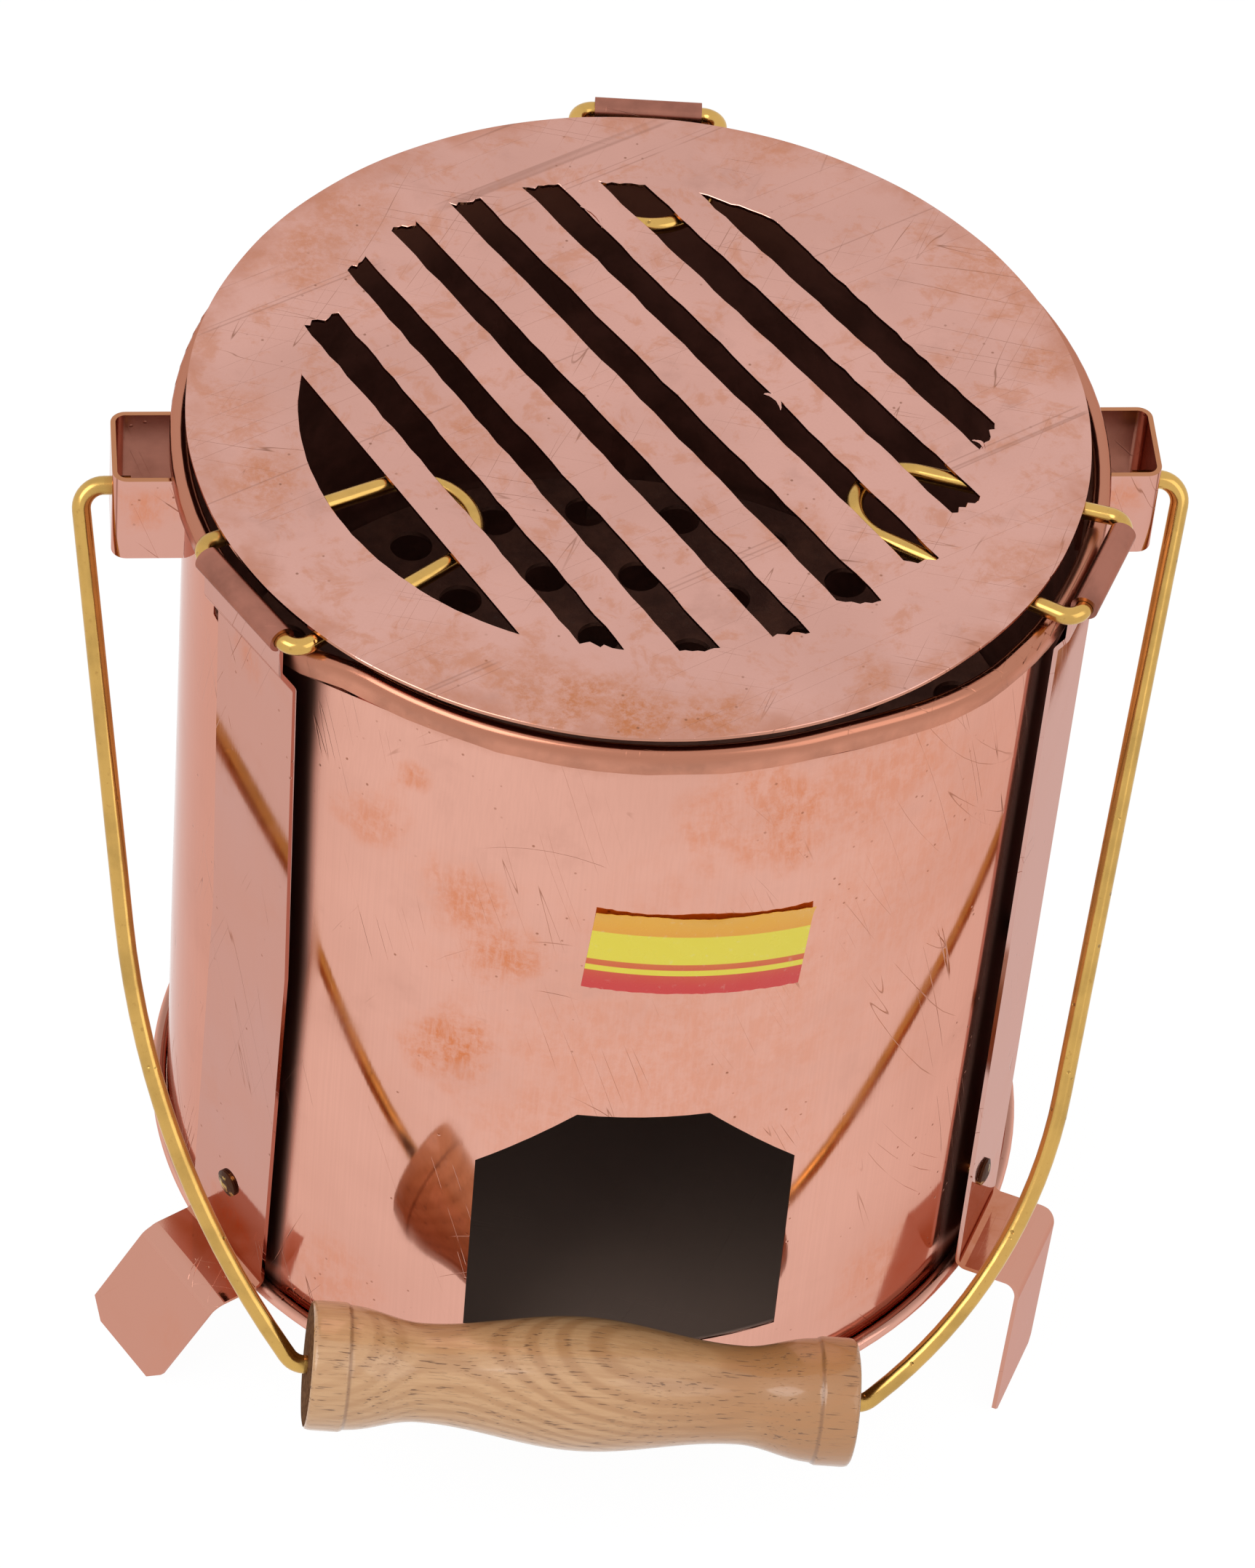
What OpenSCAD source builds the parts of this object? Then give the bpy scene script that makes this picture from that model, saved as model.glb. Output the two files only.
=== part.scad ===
// Charcoal brazier: a sheet-copper drum on three strap legs, with a slotted
// grate on top, swinging wire pot rests and a bail handle with a wooden grip.
// Millimetres, +Z up. The floor is z = 0 and the drum's axis is the Z axis.
// The draught door looks along -Y, and the bail turns on an axis along X.

/* [Drum] */
// Outside radius of the drum's wall
wall_r = 90; // [80:1:100]
// Height of the drum, from its underside to the top of the rim
body_h = 192; // [170:1:220]
// Thickness of the copper sheet
sheet_t = 0.9; // [0.7:0.05:1.1]
// Height of the drum's underside above the floor
leg_h = 27; // [22:1:34]

/* [Rim and base bead] */
// Radius of the roll at the rim, measured across its outside
rim_roll_r = 1.95; // [1.8:0.05:2.4]
// Height of the folded hem below the top of the rim
hem_h = 5.5; // [4.5:0.5:8]
// Outside radius of the rolled bead round the base
bead_r = 1.6; // [1.5:0.05:2]

/* [Draught door] */
// Width of the opening
door_w = 64.5; // [50:0.5:76]
// Height of the sill above the drum's underside
door_sill = 19.5; // [15:0.5:23]
// Height of the shoulders above the drum's underside
door_shoulder = 72; // [62:1:76]
// Height of the flat top above the drum's underside
door_top = 91; // [80:1:92]
// Width of the flat top
door_top_w = 26.5; // [20:0.5:34]

/* [Legs] */
// Width of each leg strap: front left, front right, back
strap_w = [26, 23, 22]; // [20:0.5:28]
// Direction of the front left leg round the drum
front_left_a = -149; // [-155:1:-140]
// Direction of the front right leg round the drum
front_right_a = -26; // [-40:1:-24]
// Direction of the back leg round the drum
back_a = 85; // [50:1:125]
// Outward slope of each foot from upright: front left, front right, back
foot_splay = [14, 2, 20]; // [2:0.5:24]
// Sideways lean of each strap, measured at its tab: front left, front right, back
tab_side = [0, -6, 0]; // [-6:0.5:4]
// Sideways lean of each leg, measured at the end of its foot: front left, front right, back
foot_side = [-9, -16, 0]; // [-16:0.5:6]
// Height of each tab's upper face above the base bead
tab_top = 0.8; // [0.4:0.1:1.8]
// Straight run of each turned-out tab: front left, front right, back
tab_run = [7.2, 9, 8.1]; // [7:0.1:9.3]
// Size of the clipped corners of each foot: front left, front right, back
foot_clip = [4, 1.5, 4]; // [1:0.5:4.8]
// Height of a leg's rivet above the drum's underside
leg_rivet_h = 24; // [20:1:28]

/* [Pot rests] */
// Radius of the pot rests' wire
rest_wire_r = 1.75; // [1.5:0.05:2.1]
// Reach of each loop from its knuckle: front left, front right, back
rest_reach = [51, 51, 35]; // [32:0.5:60]
// Inward slant of a loop's legs
rest_taper = 7; // [5:0.5:8]

/* [Top grate] */
// Distance of the slotted plate's edge inside the wall's outer face
grate_inset = 0.75; // [0.5:0.25:5]
// Width of the plain border round the slots
grate_border = 21; // [15:0.5:30]
// Width of a slot
slot_w = 6.9; // [5.8:0.1:8.2]
// Distance from one slot to the next
slot_pitch = 15.8; // [13.5:0.1:18]
// Distance of the middle slot from the plate's middle
slot_offset = 6; // [-7:0.5:7]
// Direction of the slots
slot_angle = -60; // [-90:0.5:0]
// Place of the loose plate's middle beside the drum's axis
grate_shift = [-1, -0.3]; // [-1.5:0.1:2]

/* [Bail] */
// Radius of the bail's wire
bail_wire_r = 1.9; // [1.6:0.05:2.2]
// Distance of a bracket's outer face from the wall
bracket_depth = 14.2; // [12:0.1:17]
// Width of a bracket along the wall
bracket_w = 20; // [17:0.5:23]
// Height of a bracket's strip
bracket_h = 21; // [18:0.5:24]
// Gap between the hem and a bracket
bracket_below_hem = 1.5; // [0.5:0.5:6]
// Distance of the pivot behind the drum's axis
pivot_back = 5; // [3:0.5:6]
// Distance by which the bail's shoulders stand out past the brackets
bail_shoulder = 5.8; // [4.9:0.1:8]
// Height of the resting grip's middle above the drum's underside
grip_rest_h = 23.8; // [20:0.2:34]

/* [Grip] */
// Length of the wooden grip
grip_len = 112; // [100:1:120]
// Radius at the grip's ends
grip_end_r = 13.2; // [11.5:0.1:13.6]
// Radius at the grip's two necks
grip_neck_r = 10.1; // [8.5:0.1:12]
// Radius at the grip's middle
grip_belly_r = 13.7; // [11.5:0.1:13.8]
// Sideways shift of the grip on its hand-bent wire
grip_shift = -9.5; // [-11:0.5:-8]
// Tilt of the grip on its hand-bent wire
grip_tilt = 5.2; // [4.5:0.1:6]

/* [Fire grate] */
// Gap between the wall and the loose plate that carries the charcoal
fire_grate_gap = 2.6; // [2.3:0.1:6]
// Height of that plate above the drum's underside
fire_grate_h = 97; // [94:1:106]
// Radius of an air hole
air_hole_r = 4.5; // [3.7:0.1:5.3]
// Distance from one ring of air holes to the next
air_pitch = 19; // [16:0.5:24]

/* [Label] */
// Width of the paper label
label_w = 44; // [36:1:52]
// Height of the paper label
label_h = 22; // [18:0.5:26]
// Gap between the draught door and the label
label_above_door = 36; // [20:1:44]

/* [Hidden] */
$fn = 96;

// Colours
copper = [0.85, 0.58, 0.50];
dull_copper = [0.62, 0.38, 0.32];
brass = [0.78, 0.62, 0.22];
oak = [0.76, 0.58, 0.38];
soot = [0.22, 0.18, 0.17];

// Clearances
body_gap = 0.35;      // between pieces that move past each other
pin_gap = 0.08;       // radial, round a wire that turns in its hole
seat_gap = 0.05;      // between pieces that are fixed to each other
eps = 0.01;           // overshoot of a cutter
lap = 0.06;           // depth by which a bend reaches into the straight runs beside it
bite = 0.01;          // a bend is this much thinner on each face, so the lap stays inside
far = 400;            // longer than anything on the object

// Levels above the floor
base_z = leg_h;
rim_z = base_z + body_h;
pivot_z = rim_z - hem_h - bracket_below_hem - bracket_h / 2;
fire_grate_z = base_z + fire_grate_h;

// Rim: the wall's sheet is rolled outward round a wire and hemmed down
wall_in = wall_r - sheet_t;
rim_mid_r = wall_in + rim_roll_r;
rim_mid_z = rim_z - rim_roll_r;
rim_out = rim_mid_r + rim_roll_r;
rim_wire_r = rim_roll_r - sheet_t - seat_gap;

// Base bead
bead_mid_r = wall_r + 2 * seat_gap + bead_r;
bead_out = bead_mid_r + bead_r;
bead_wrap = 260;

// Legs: front left, front right, back
leg_angles = [front_left_a, front_right_a, back_a];

// Rivets
rivet_r = 1.6;
rivet_head_r = 3;
rivet_head_h = 1.3;
rivet_dome = 0.75;

// At the rim, leg straps stand clear of the rim and the base bead, whichever is wider
strap_in = max(rim_out, bead_out) + seat_gap;
strap_mid = strap_in + sheet_t / 2;

// Below the hem each strap steps in until it meets the outer head of its lug rivet
step_a = 30;
step_bend_r = 1.5;
strap_low_in = wall_r + rivet_head_h + 2 * seat_gap;
step_run = (strap_in - strap_low_in - 2 * step_bend_r * (1 - cos(step_a))) / sin(step_a);
step_drop = 2 * step_bend_r * sin(step_a) + step_run * cos(step_a);
step_z = rim_z - hem_h - body_gap;

knuckle_in = rest_wire_r + pin_gap;
knuckle_out = knuckle_in + sheet_t;
knuckle_mid = knuckle_in + sheet_t / 2;
knuckle_wrap = 310;

// Reverse bend that sets a knuckle back over its strap: front left, front right, back
knuckle_set = [60, 0, 60];
set_bend_r = 2;
set_run = 0.2;

// The knuckles turn just above the rim. The plate lies on the pot rests' wire.
rest_z = rim_z + body_gap + knuckle_out;
grate_z = rest_z + rest_wire_r + body_gap;
tab_bend_r = 2;
foot_bend_r = 3.2;
tab_z = base_z + 2 * bead_r + tab_top - sheet_t / 2;

// Pot rest loops
rest_bend_r = 3.4;
rest_end_gap = 0.5;
rest_clear = 0.2;

// Rivets of the legs
leg_rivet_z = base_z + leg_rivet_h;
leg_rivet_side = [0, -8, 0];

// Lugs under the fire grate
plate_t = 1.2;
lug_w = 12;
lug_drop = 12;
lug_shelf = 8;
lug_bend_r = 1.2;
lug_r = flat_seat(wall_in, lug_w / 2);
lug_z = fire_grate_z - body_gap;
lug_rivet_z = lug_z - lug_drop / 2 - 1;

// Bail brackets
bracket_t = 1;
bracket_bend_r = 2.5;
bracket_reach = wall_r + bracket_depth;
bracket_z = pivot_z - bracket_h / 2;
tab_h = 12;
clinch_r = wall_in - seat_gap - bracket_t / 2;
clinch_a = 3;
slot_slack = 0.1;

// Grip profile
grip_collar = 7.5;
grip_neck_at = 23;
grip_round = 0.8;
grip_steps = 12;

// The resting grip leans on the wall with the part of its belly that lies in front of the axis.
// Its tilt brings it a little nearer than its radius there.
grip_touch_r = wave(grip_len / 2 - abs(grip_shift), grip_neck_at, grip_len / 2, grip_neck_r, grip_belly_r);
grip_nest = 0.4;
bail_reach = pivot_back + wall_r + grip_touch_r + body_gap - grip_nest;
bail_drop = pivot_z - base_z - grip_rest_h;
bail_len = norm([bail_reach, bail_drop]);
bail_rest_angle = atan2(bail_reach, bail_drop);

// Bail wire. Each side holds [grip shift, grip tilt, slope of the leg, slope at the grip]
bail_half_w = bracket_reach + bail_shoulder;
bail_bend_r = 4.5;
bail_kink_r = 4.5;
bail_kink_run = 1;
bail_stub = 3;
bail_right = [grip_shift, grip_tilt, 10, 52];
bail_left = [-grip_shift, -grip_tilt, 5.5, 34];
grip_stub = 0.7;

// Slots of the top grate. Past the last one, the plate is cut away to the edge of the field.
grate_r = wall_r - grate_inset;
slot_field_r = grate_r - grate_border;
side_slots = floor((slot_field_r - slot_w) / slot_pitch);
end_slot = slot_offset - (side_slots + 1) * slot_pitch + slot_w / 2;

// Air holes of the fire grate, in rings of 6, 12, 18 and so on
fire_grate_r = wall_in - fire_grate_gap;
air_edge = 4;
air_rings = floor((fire_grate_r - air_edge - air_hole_r) / air_pitch);

// Label
label_a = -85;
label_z = base_z + door_top + label_above_door + label_h / 2;
label_tilt = -4.5;
label_t = 0.15;

// Small slot in the wall beside the front left leg
side_slot_h = 7.7;
side_slot_w = 3.4;
side_slot_gap = 4.2;
side_slot_a = front_left_a - asin((strap_w[0] / 2 + side_slot_gap) / strap_low_in);
side_slot_z = rim_z - 15.7;

// Seam at the back of the wall
seam_a = 112;
seam_w = 6;
seam_z = base_z + 2 * bead_r + sheet_t;

// Distance from the axis at which a flat piece of this half width seats in a round wall
function flat_seat(r, half) = sqrt(pow(r, 2) - pow(half, 2)) - seat_gap;

// A piece of a flat ring round the origin, from direction 0 to direction a
module ring_arc(mid_r, t, a) {
    steps = ceil(a / 45);
    reach = 2 * (mid_r + t);
    fan = [for (k = [0:steps]) reach * [cos(a * k / steps), sin(a * k / steps)]];
    intersection() {
        difference() {
            circle(r = mid_r + t / 2);
            circle(r = mid_r - t / 2);
        }
        polygon(concat([[0, 0]], fan));
    }
}

// A bend between two straight runs, from direction 0 to direction a
module bend(mid_r, t, a) {
    lap_a = lap / mid_r * 180 / PI;
    rotate(-lap_a) ring_arc(mid_r, t - 2 * bite, a + 2 * lap_a);
}

// The same bend in round wire
module wire_bend(mid_r, r, a) {
    lap_a = lap / mid_r * 180 / PI;
    rotate([0, 0, -lap_a]) rotate_extrude(angle = a + 2 * lap_a)
        translate([mid_r, 0]) circle(r = r - bite, $fn = 32);
}

// Outline of a bent strip, heading +X. A step is [straight run, bend radius, bend angle]
module strip_2d(steps, t, i = 0) {
    if (i < len(steps)) {
        run = steps[i][0];
        mid_r = steps[i][1];
        a = steps[i][2];
        side = a < 0 ? -1 : 1;
        translate([0, -t / 2]) square([run, t]);
        translate([run, side * mid_r]) {
            if (a != 0) rotate(side > 0 ? -90 : 90 + a) bend(mid_r, t, abs(a));
            rotate(a) translate([0, -side * mid_r]) strip_2d(steps, t, i + 1);
        }
    }
}

// Bent round wire in the XY plane, heading +X, from the same kind of steps
module wire_run(steps, r, i = 0) {
    if (i < len(steps)) {
        run = steps[i][0];
        mid_r = steps[i][1];
        a = steps[i][2];
        side = a < 0 ? -1 : 1;
        if (run > 0) rotate([0, 90, 0]) cylinder(r = r, h = run);
        translate([run, side * mid_r, 0]) {
            if (a != 0) rotate([0, 0, side > 0 ? -90 : 90 + a]) wire_bend(mid_r, r, abs(a));
            rotate([0, 0, a]) translate([0, -side * mid_r, 0]) wire_run(steps, r, i + 1);
        }
    }
}

// Everything that follows a leg's direction
module at_leg(i) {
    rotate([0, 0, leg_angles[i]]) children();
}

// Rivet along +X from its inner head at x0 to the face at x1 under its outer head. The shank runs
// half a head deep into both heads.
module rivet(x0, x1) {
    translate([x0 - rivet_head_h, 0, 0]) rotate([0, 90, 0]) cylinder(r = rivet_head_r, h = rivet_head_h);
    translate([x0 - rivet_head_h / 2, 0, 0]) rotate([0, 90, 0])
        cylinder(r = rivet_r, h = x1 - x0 + rivet_head_h);
    translate([x1, 0, 0]) rotate([0, 90, 0]) rivet_head();
}

// Domed head that stands on z = 0
module rivet_head() {
    ball_r = (pow(rivet_head_r, 2) + pow(rivet_dome, 2)) / (2 * rivet_dome);
    edge_h = rivet_head_h - rivet_dome;
    rotate_extrude() {
        square([rivet_head_r, edge_h]);
        intersection() {
            translate([0, rivet_head_h - ball_r]) circle(r = ball_r);
            translate([0, edge_h]) square([rivet_head_r, rivet_dome + eps]);
        }
    }
}

// Hole along X for a rivet's shank
module rivet_hole(y, z) {
    translate([0, y, z]) rotate([0, 90, 0]) cylinder(r = rivet_r + seat_gap, h = far);
}

// Profile of the wall with its rolled and hemmed rim
module wall_profile() {
    translate([wall_in, base_z + sheet_t]) square([sheet_t, rim_mid_z - base_z - sheet_t]);
    translate([rim_mid_r, rim_mid_z]) ring_arc(rim_roll_r - sheet_t / 2, sheet_t, 180);
    translate([rim_out - sheet_t, rim_z - hem_h]) square([sheet_t, hem_h - rim_roll_r]);
}

// Draught door, as an outline in X and height above the floor
module door_outline() {
    half = door_w / 2;
    top_half = door_top_w / 2;
    translate([0, base_z]) polygon([
        [-half, door_sill], [half, door_sill], [half, door_shoulder],
        [top_half, door_top], [-top_half, door_top], [-half, door_shoulder]]);
}

// Slots in the wall for the two tabs of the bracket on side s
module bracket_slots(s) {
    for (e = [-1, 1])
        translate([s * wall_r, pivot_back + e * (bracket_w - bracket_t) / 2, pivot_z])
            cube([8 * sheet_t, bracket_t + 2 * slot_slack, tab_h + 2 * slot_slack], center = true);
}

module shell_wall() {
    color(copper) difference() {
        union() {
            rotate_extrude($fn = 180) wall_profile();
            rotate([0, 0, seam_a]) translate([wall_r - sheet_t / 2, -seam_w / 2, seam_z])
                cube([1.5 * sheet_t, seam_w, rim_z - hem_h - 2 * sheet_t - seam_z]);
        }
        rotate([90, 0, 0]) linear_extrude(height = far) door_outline();
        for (s = [-1, 1]) bracket_slots(s);
        for (i = [0:2]) at_leg(i) {
            rivet_hole(leg_rivet_side[i], leg_rivet_z);
            rivet_hole(0, lug_rivet_z);
        }
        rotate([0, 0, side_slot_a]) translate([wall_r, 0, side_slot_z])
            cube([8 * sheet_t, side_slot_w, side_slot_h], center = true);
    }
}

module rim_wire() {
    color(dull_copper) rotate_extrude() translate([rim_mid_r, rim_mid_z]) circle(r = rim_wire_r, $fn = 32);
}

module base_pan() {
    color(copper) rotate_extrude($fn = 180) translate([0, base_z]) {
        square([bead_mid_r, sheet_t]);
        translate([bead_mid_r, bead_r]) rotate(-90) ring_arc(bead_r - sheet_t / 2, sheet_t, bead_wrap);
    }
}

// Distance of a knuckle's middle from the drum's axis
function knuckle_x(i) = let (a = knuckle_set[i])
    strap_mid + knuckle_mid * cos(a) - set_run * sin(a) - set_bend_r * (1 - cos(a));

// Strap leg: knuckle over the rim, step below the hem, upright strap, turned-out tab and foot
module leg(i) {
    set_a = knuckle_set[i];
    top_z = rest_z - knuckle_mid * sin(set_a) - set_run * cos(set_a) - set_bend_r * sin(set_a);
    foot_run = tab_z / cos(foot_splay[i]);
    path = [[set_run, set_bend_r, -set_a], [top_z - step_z, step_bend_r, -step_a],
        [step_run, step_bend_r, step_a], [step_z - step_drop - tab_z - tab_bend_r, tab_bend_r, 90],
        [tab_run[i], foot_bend_r, foot_splay[i] - 90], [foot_run, 0, 0]];
    color(copper) at_leg(i) difference() {
        intersection() {
            rotate([90, 0, 0]) linear_extrude(height = far, center = true) {
                translate([knuckle_x(i), rest_z]) rotate(set_a) {
                    translate([-knuckle_mid, 0]) rotate(-90) strip_2d(path, sheet_t);
                    rotate(180 - knuckle_wrap) bend(knuckle_mid, sheet_t, knuckle_wrap);
                }
            }
            rotate([90, 0, 90]) linear_extrude(height = far) leg_outline(i);
        }
        rivet_hole(leg_rivet_side[i], leg_rivet_z);
    }
}

// Outline of a leg seen from outside, in sideways place and height above the floor
module leg_outline(i) {
    half = strap_w[i] / 2;
    clip = foot_clip[i];
    polygon([[-half, rim_z], [-half, far], [half, far], [half, rim_z],
        [tab_side[i] + half, tab_z], [foot_side[i] + half, clip], [foot_side[i] + half - clip, 0],
        [foot_side[i] - half + clip, 0], [foot_side[i] - half, clip], [tab_side[i] - half, tab_z]]);
}

module leg_front_left() leg(0);
module leg_front_right() leg(1);
module leg_back() leg(2);

module leg_rivets() {
    color(brass) for (i = [0:2]) at_leg(i) translate([0, leg_rivet_side[i], leg_rivet_z])
        rivet(flat_seat(wall_in, abs(leg_rivet_side[i]) + rivet_head_r), strap_low_in + sheet_t + seat_gap);
}

module lug_rivets() {
    color(brass) for (i = [0:2]) at_leg(i) translate([0, 0, lug_rivet_z])
        rivet(lug_r - sheet_t - seat_gap, wall_r + seat_gap);
}

// Angle lug: upright leg against the wall and a shelf that carries the fire grate
module grate_lug(i) {
    upright = lug_drop - lug_bend_r;
    color(dull_copper) at_leg(i) difference() {
        rotate([90, 0, 0]) linear_extrude(height = lug_w, center = true)
            translate([lug_r - sheet_t / 2, lug_z - lug_drop - sheet_t / 2]) rotate(90)
                strip_2d([[upright, lug_bend_r, 90], [lug_shelf, 0, 0]], sheet_t);
        rivet_hole(0, lug_rivet_z);
    }
}

module grate_lug_front_left() grate_lug(0);
module grate_lug_front_right() grate_lug(1);
module grate_lug_back() grate_lug(2);

// U-shaped strip on side s. A tab on each arm runs through the wall and is clinched inside.
module bail_bracket(s) {
    half = (bracket_w - bracket_t) / 2;
    arm = bracket_reach - bracket_t / 2 - bracket_bend_r;
    path = [[arm, bracket_bend_r, 90], [2 * (half - bracket_bend_r), bracket_bend_r, 90], [arm, 0, 0]];
    color(copper) mirror([s < 0 ? 1 : 0, 0, 0]) difference() {
        union() {
            translate([0, 0, bracket_z]) linear_extrude(height = bracket_h)
                bracket_outline(path, wall_r + seat_gap);
            translate([0, 0, pivot_z - tab_h / 2]) linear_extrude(height = tab_h) {
                bracket_outline(path, clinch_r);
                for (e = [-1, 1]) rotate(asin((pivot_back + e * half) / clinch_r))
                    mirror([0, e < 0 ? 1 : 0]) bend(clinch_r, bracket_t, clinch_a);
            }
        }
        translate([0, pivot_back, pivot_z]) rotate([0, 90, 0])
            cylinder(r = bail_wire_r + pin_gap, h = far);
    }
}

// Outline of a bracket's strip, ending at radius r round the drum's axis
module bracket_outline(path, r) {
    difference() {
        translate([0, pivot_back - (bracket_w - bracket_t) / 2]) strip_2d(path, bracket_t);
        circle(r = r, $fn = 180);
    }
}

module bail_bracket_left() bail_bracket(-1);
module bail_bracket_right() bail_bracket(1);

// Frame of the resting bail: X along the pivot, -Y down the bail
module bail_frame() {
    translate([0, pivot_back, pivot_z]) rotate([90 - bail_rest_angle, 0, 0]) children();
}

// One side of the bail, drawn for +X. The straight run and the large bend are solved
// so that the wire meets the end of the grip in line with it.
module bail_side(side, last_run) {
    tilt = side[1];
    a0 = side[2];
    a1 = side[3];
    a2 = 90 + tilt;
    hold = grip_len / 2 + grip_stub;
    bend_x = bail_half_w - bail_bend_r;
    start_x = bracket_reach - bracket_t - bail_stub;
    in = bend_x + bail_bend_r * cos(a0) - side[0] - hold * cos(tilt)
        - bail_kink_r * (cos(a1) - cos(a2)) - bail_kink_run * sin(a1);
    down = bail_len + hold * sin(tilt) - bail_bend_r * (1 + sin(a0))
        - bail_kink_r * (sin(a2) - sin(a1)) - bail_kink_run * cos(a1);
    det = sin(a0) * (sin(a1) - sin(a0)) - (cos(a0) - cos(a1)) * cos(a0);
    straight = (in * (sin(a1) - sin(a0)) - (cos(a0) - cos(a1)) * down) / det;
    sweep_r = (sin(a0) * down - cos(a0) * in) / det;
    translate([start_x, 0, 0]) wire_run([
        [bend_x - start_x, bail_bend_r, -90 - a0],
        [straight, sweep_r, a0 - a1],
        [bail_kink_run, bail_kink_r, a1 - a2],
        [last_run, 0, 0]], bail_wire_r);
}

module bail_wire() {
    color(brass) bail_frame() {
        bail_side(bail_right, grip_len + 2 * grip_stub);
        mirror([1, 0, 0]) bail_side(bail_left, 0);
    }
}

// Radius of the grip at a distance x from its end, as half a cosine wave between stations
function wave(x, x0, x1, r0, r1) = r0 + (r1 - r0) * (1 - cos(180 * (x - x0) / (x1 - x0))) / 2;

module grip_profile() {
    bore_r = bail_wire_r + pin_gap;
    half = grip_len / 2;
    neck = [for (k = [0:grip_steps]) let (x = grip_collar + (grip_neck_at - grip_collar) * k / grip_steps)
        [wave(x, grip_collar, grip_neck_at, grip_end_r, grip_neck_r), x]];
    belly = [for (k = [1:grip_steps]) let (x = grip_neck_at + (half - grip_neck_at) * k / grip_steps)
        [wave(x, grip_neck_at, half, grip_neck_r, grip_belly_r), x]];
    near_side = concat([[grip_end_r - grip_round, 0], [grip_end_r, grip_round]], neck, belly);
    far_side = [for (k = [len(near_side) - 2:-1:0]) [near_side[k][0], grip_len - near_side[k][1]]];
    polygon(concat([[bore_r, 0]], near_side, far_side, [[bore_r, grip_len]]));
}

module bail_grip() {
    color(oak) bail_frame() translate([grip_shift, -bail_len, 0]) rotate([0, 0, -grip_tilt])
        rotate([0, 90, 0]) translate([0, 0, -grip_len / 2]) rotate_extrude() grip_profile();
}

// Wire loop that swings in a leg's knuckle. Its two ends butt inside the knuckle.
module pot_rest(i) {
    a = rest_taper;
    half = strap_w[i] / 2 + rest_clear;
    straight = half - rest_end_gap;
    tip_x = knuckle_x(i) - rest_reach[i];
    side_x = knuckle_x(i) - rest_bend_r * (1 + sin(a));
    side_y = half + rest_bend_r * cos(a);
    tip_r = (side_y - (side_x - tip_x) * tan(a)) / (cos(a) - (1 - sin(a)) * tan(a));
    run = (side_x - tip_x - tip_r * (1 - sin(a))) / cos(a);
    path = [[straight, rest_bend_r, 90 + a], [run, tip_r, 180 - 2 * a],
        [run, rest_bend_r, 90 + a], [straight, 0, 0]];
    color(brass) at_leg(i) translate([knuckle_x(i), rest_end_gap, rest_z]) rotate([0, 0, 90])
        wire_run(path, rest_wire_r);
}

module pot_rest_front_left() pot_rest(0);
module pot_rest_front_right() pot_rest(1);
module pot_rest_back() pot_rest(2);

// Slots of the top grate
module grate_slots() {
    intersection() {
        circle(r = slot_field_r);
        rotate(slot_angle) union() {
            translate([-far, -far]) square([2 * far, far + end_slot]);
            for (k = [-side_slots:side_slots]) translate([-far, slot_offset + k * slot_pitch - slot_w / 2])
                square([2 * far, slot_w]);
        }
    }
}

module top_grate() {
    color(copper) translate([grate_shift[0], grate_shift[1], grate_z]) linear_extrude(height = sheet_t)
        difference() {
            circle(r = grate_r, $fn = 180);
            grate_slots();
        }
}

module fire_grate() {
    color(soot) translate([0, 0, fire_grate_z]) difference() {
        cylinder(r = fire_grate_r, h = plate_t);
        translate([0, 0, -eps]) cylinder(r = air_hole_r, h = plate_t + 2 * eps);
        for (ring = [1:air_rings], k = [1:6 * ring]) rotate([0, 0, 60 * k / ring])
            translate([ring * air_pitch, 0, -eps]) cylinder(r = air_hole_r, h = plate_t + 2 * eps);
    }
}

module paper_label() {
    color("orange") intersection() {
        translate([0, 0, base_z]) difference() {
            cylinder(r = wall_r + seat_gap + label_t, h = body_h);
            cylinder(r = wall_r + seat_gap, h = body_h);
        }
        rotate([0, 0, label_a]) translate([0, 0, label_z]) rotate([label_tilt, 0, 0])
            translate([0, -label_w / 2, -label_h / 2]) cube([far, label_w, label_h]);
    }
}

shell_wall();
rim_wire();
base_pan();
leg_front_left();
leg_front_right();
leg_back();
leg_rivets();
bail_bracket_left();
bail_bracket_right();
bail_wire();
bail_grip();
pot_rest_front_left();
pot_rest_front_right();
pot_rest_back();
top_grate();
fire_grate();
grate_lug_front_left();
grate_lug_front_right();
grate_lug_back();
lug_rivets();
paper_label();
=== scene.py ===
"""Looks of a copper charcoal brazier: pieces, finishes, soft studio light and camera.

Every length is in metres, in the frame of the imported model.
"""

import math
import random

import bpy
from bpy.props import FloatProperty, FloatVectorProperty, PointerProperty
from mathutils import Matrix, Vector


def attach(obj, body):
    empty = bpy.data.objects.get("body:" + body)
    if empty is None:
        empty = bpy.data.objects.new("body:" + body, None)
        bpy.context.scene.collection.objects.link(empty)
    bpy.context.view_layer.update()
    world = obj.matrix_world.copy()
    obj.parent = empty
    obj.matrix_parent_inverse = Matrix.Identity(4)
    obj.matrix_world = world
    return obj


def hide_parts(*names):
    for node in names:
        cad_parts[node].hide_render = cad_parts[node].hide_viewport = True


bl_info = {
    "name": "Charcoal brazier",
    "version": (1, 0, 0),
    "blender": (4, 5, 0),
    "location": "View3D > Sidebar > Brazier",
    "description": "Builds the pieces and finishes of a copper charcoal brazier",
    "category": "Object",
}

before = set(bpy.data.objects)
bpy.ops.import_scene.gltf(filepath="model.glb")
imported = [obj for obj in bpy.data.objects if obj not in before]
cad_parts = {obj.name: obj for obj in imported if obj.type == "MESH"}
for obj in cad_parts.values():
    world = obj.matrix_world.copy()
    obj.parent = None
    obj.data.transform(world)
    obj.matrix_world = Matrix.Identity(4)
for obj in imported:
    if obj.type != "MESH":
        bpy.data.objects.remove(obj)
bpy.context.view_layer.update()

MM = 0.001

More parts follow.
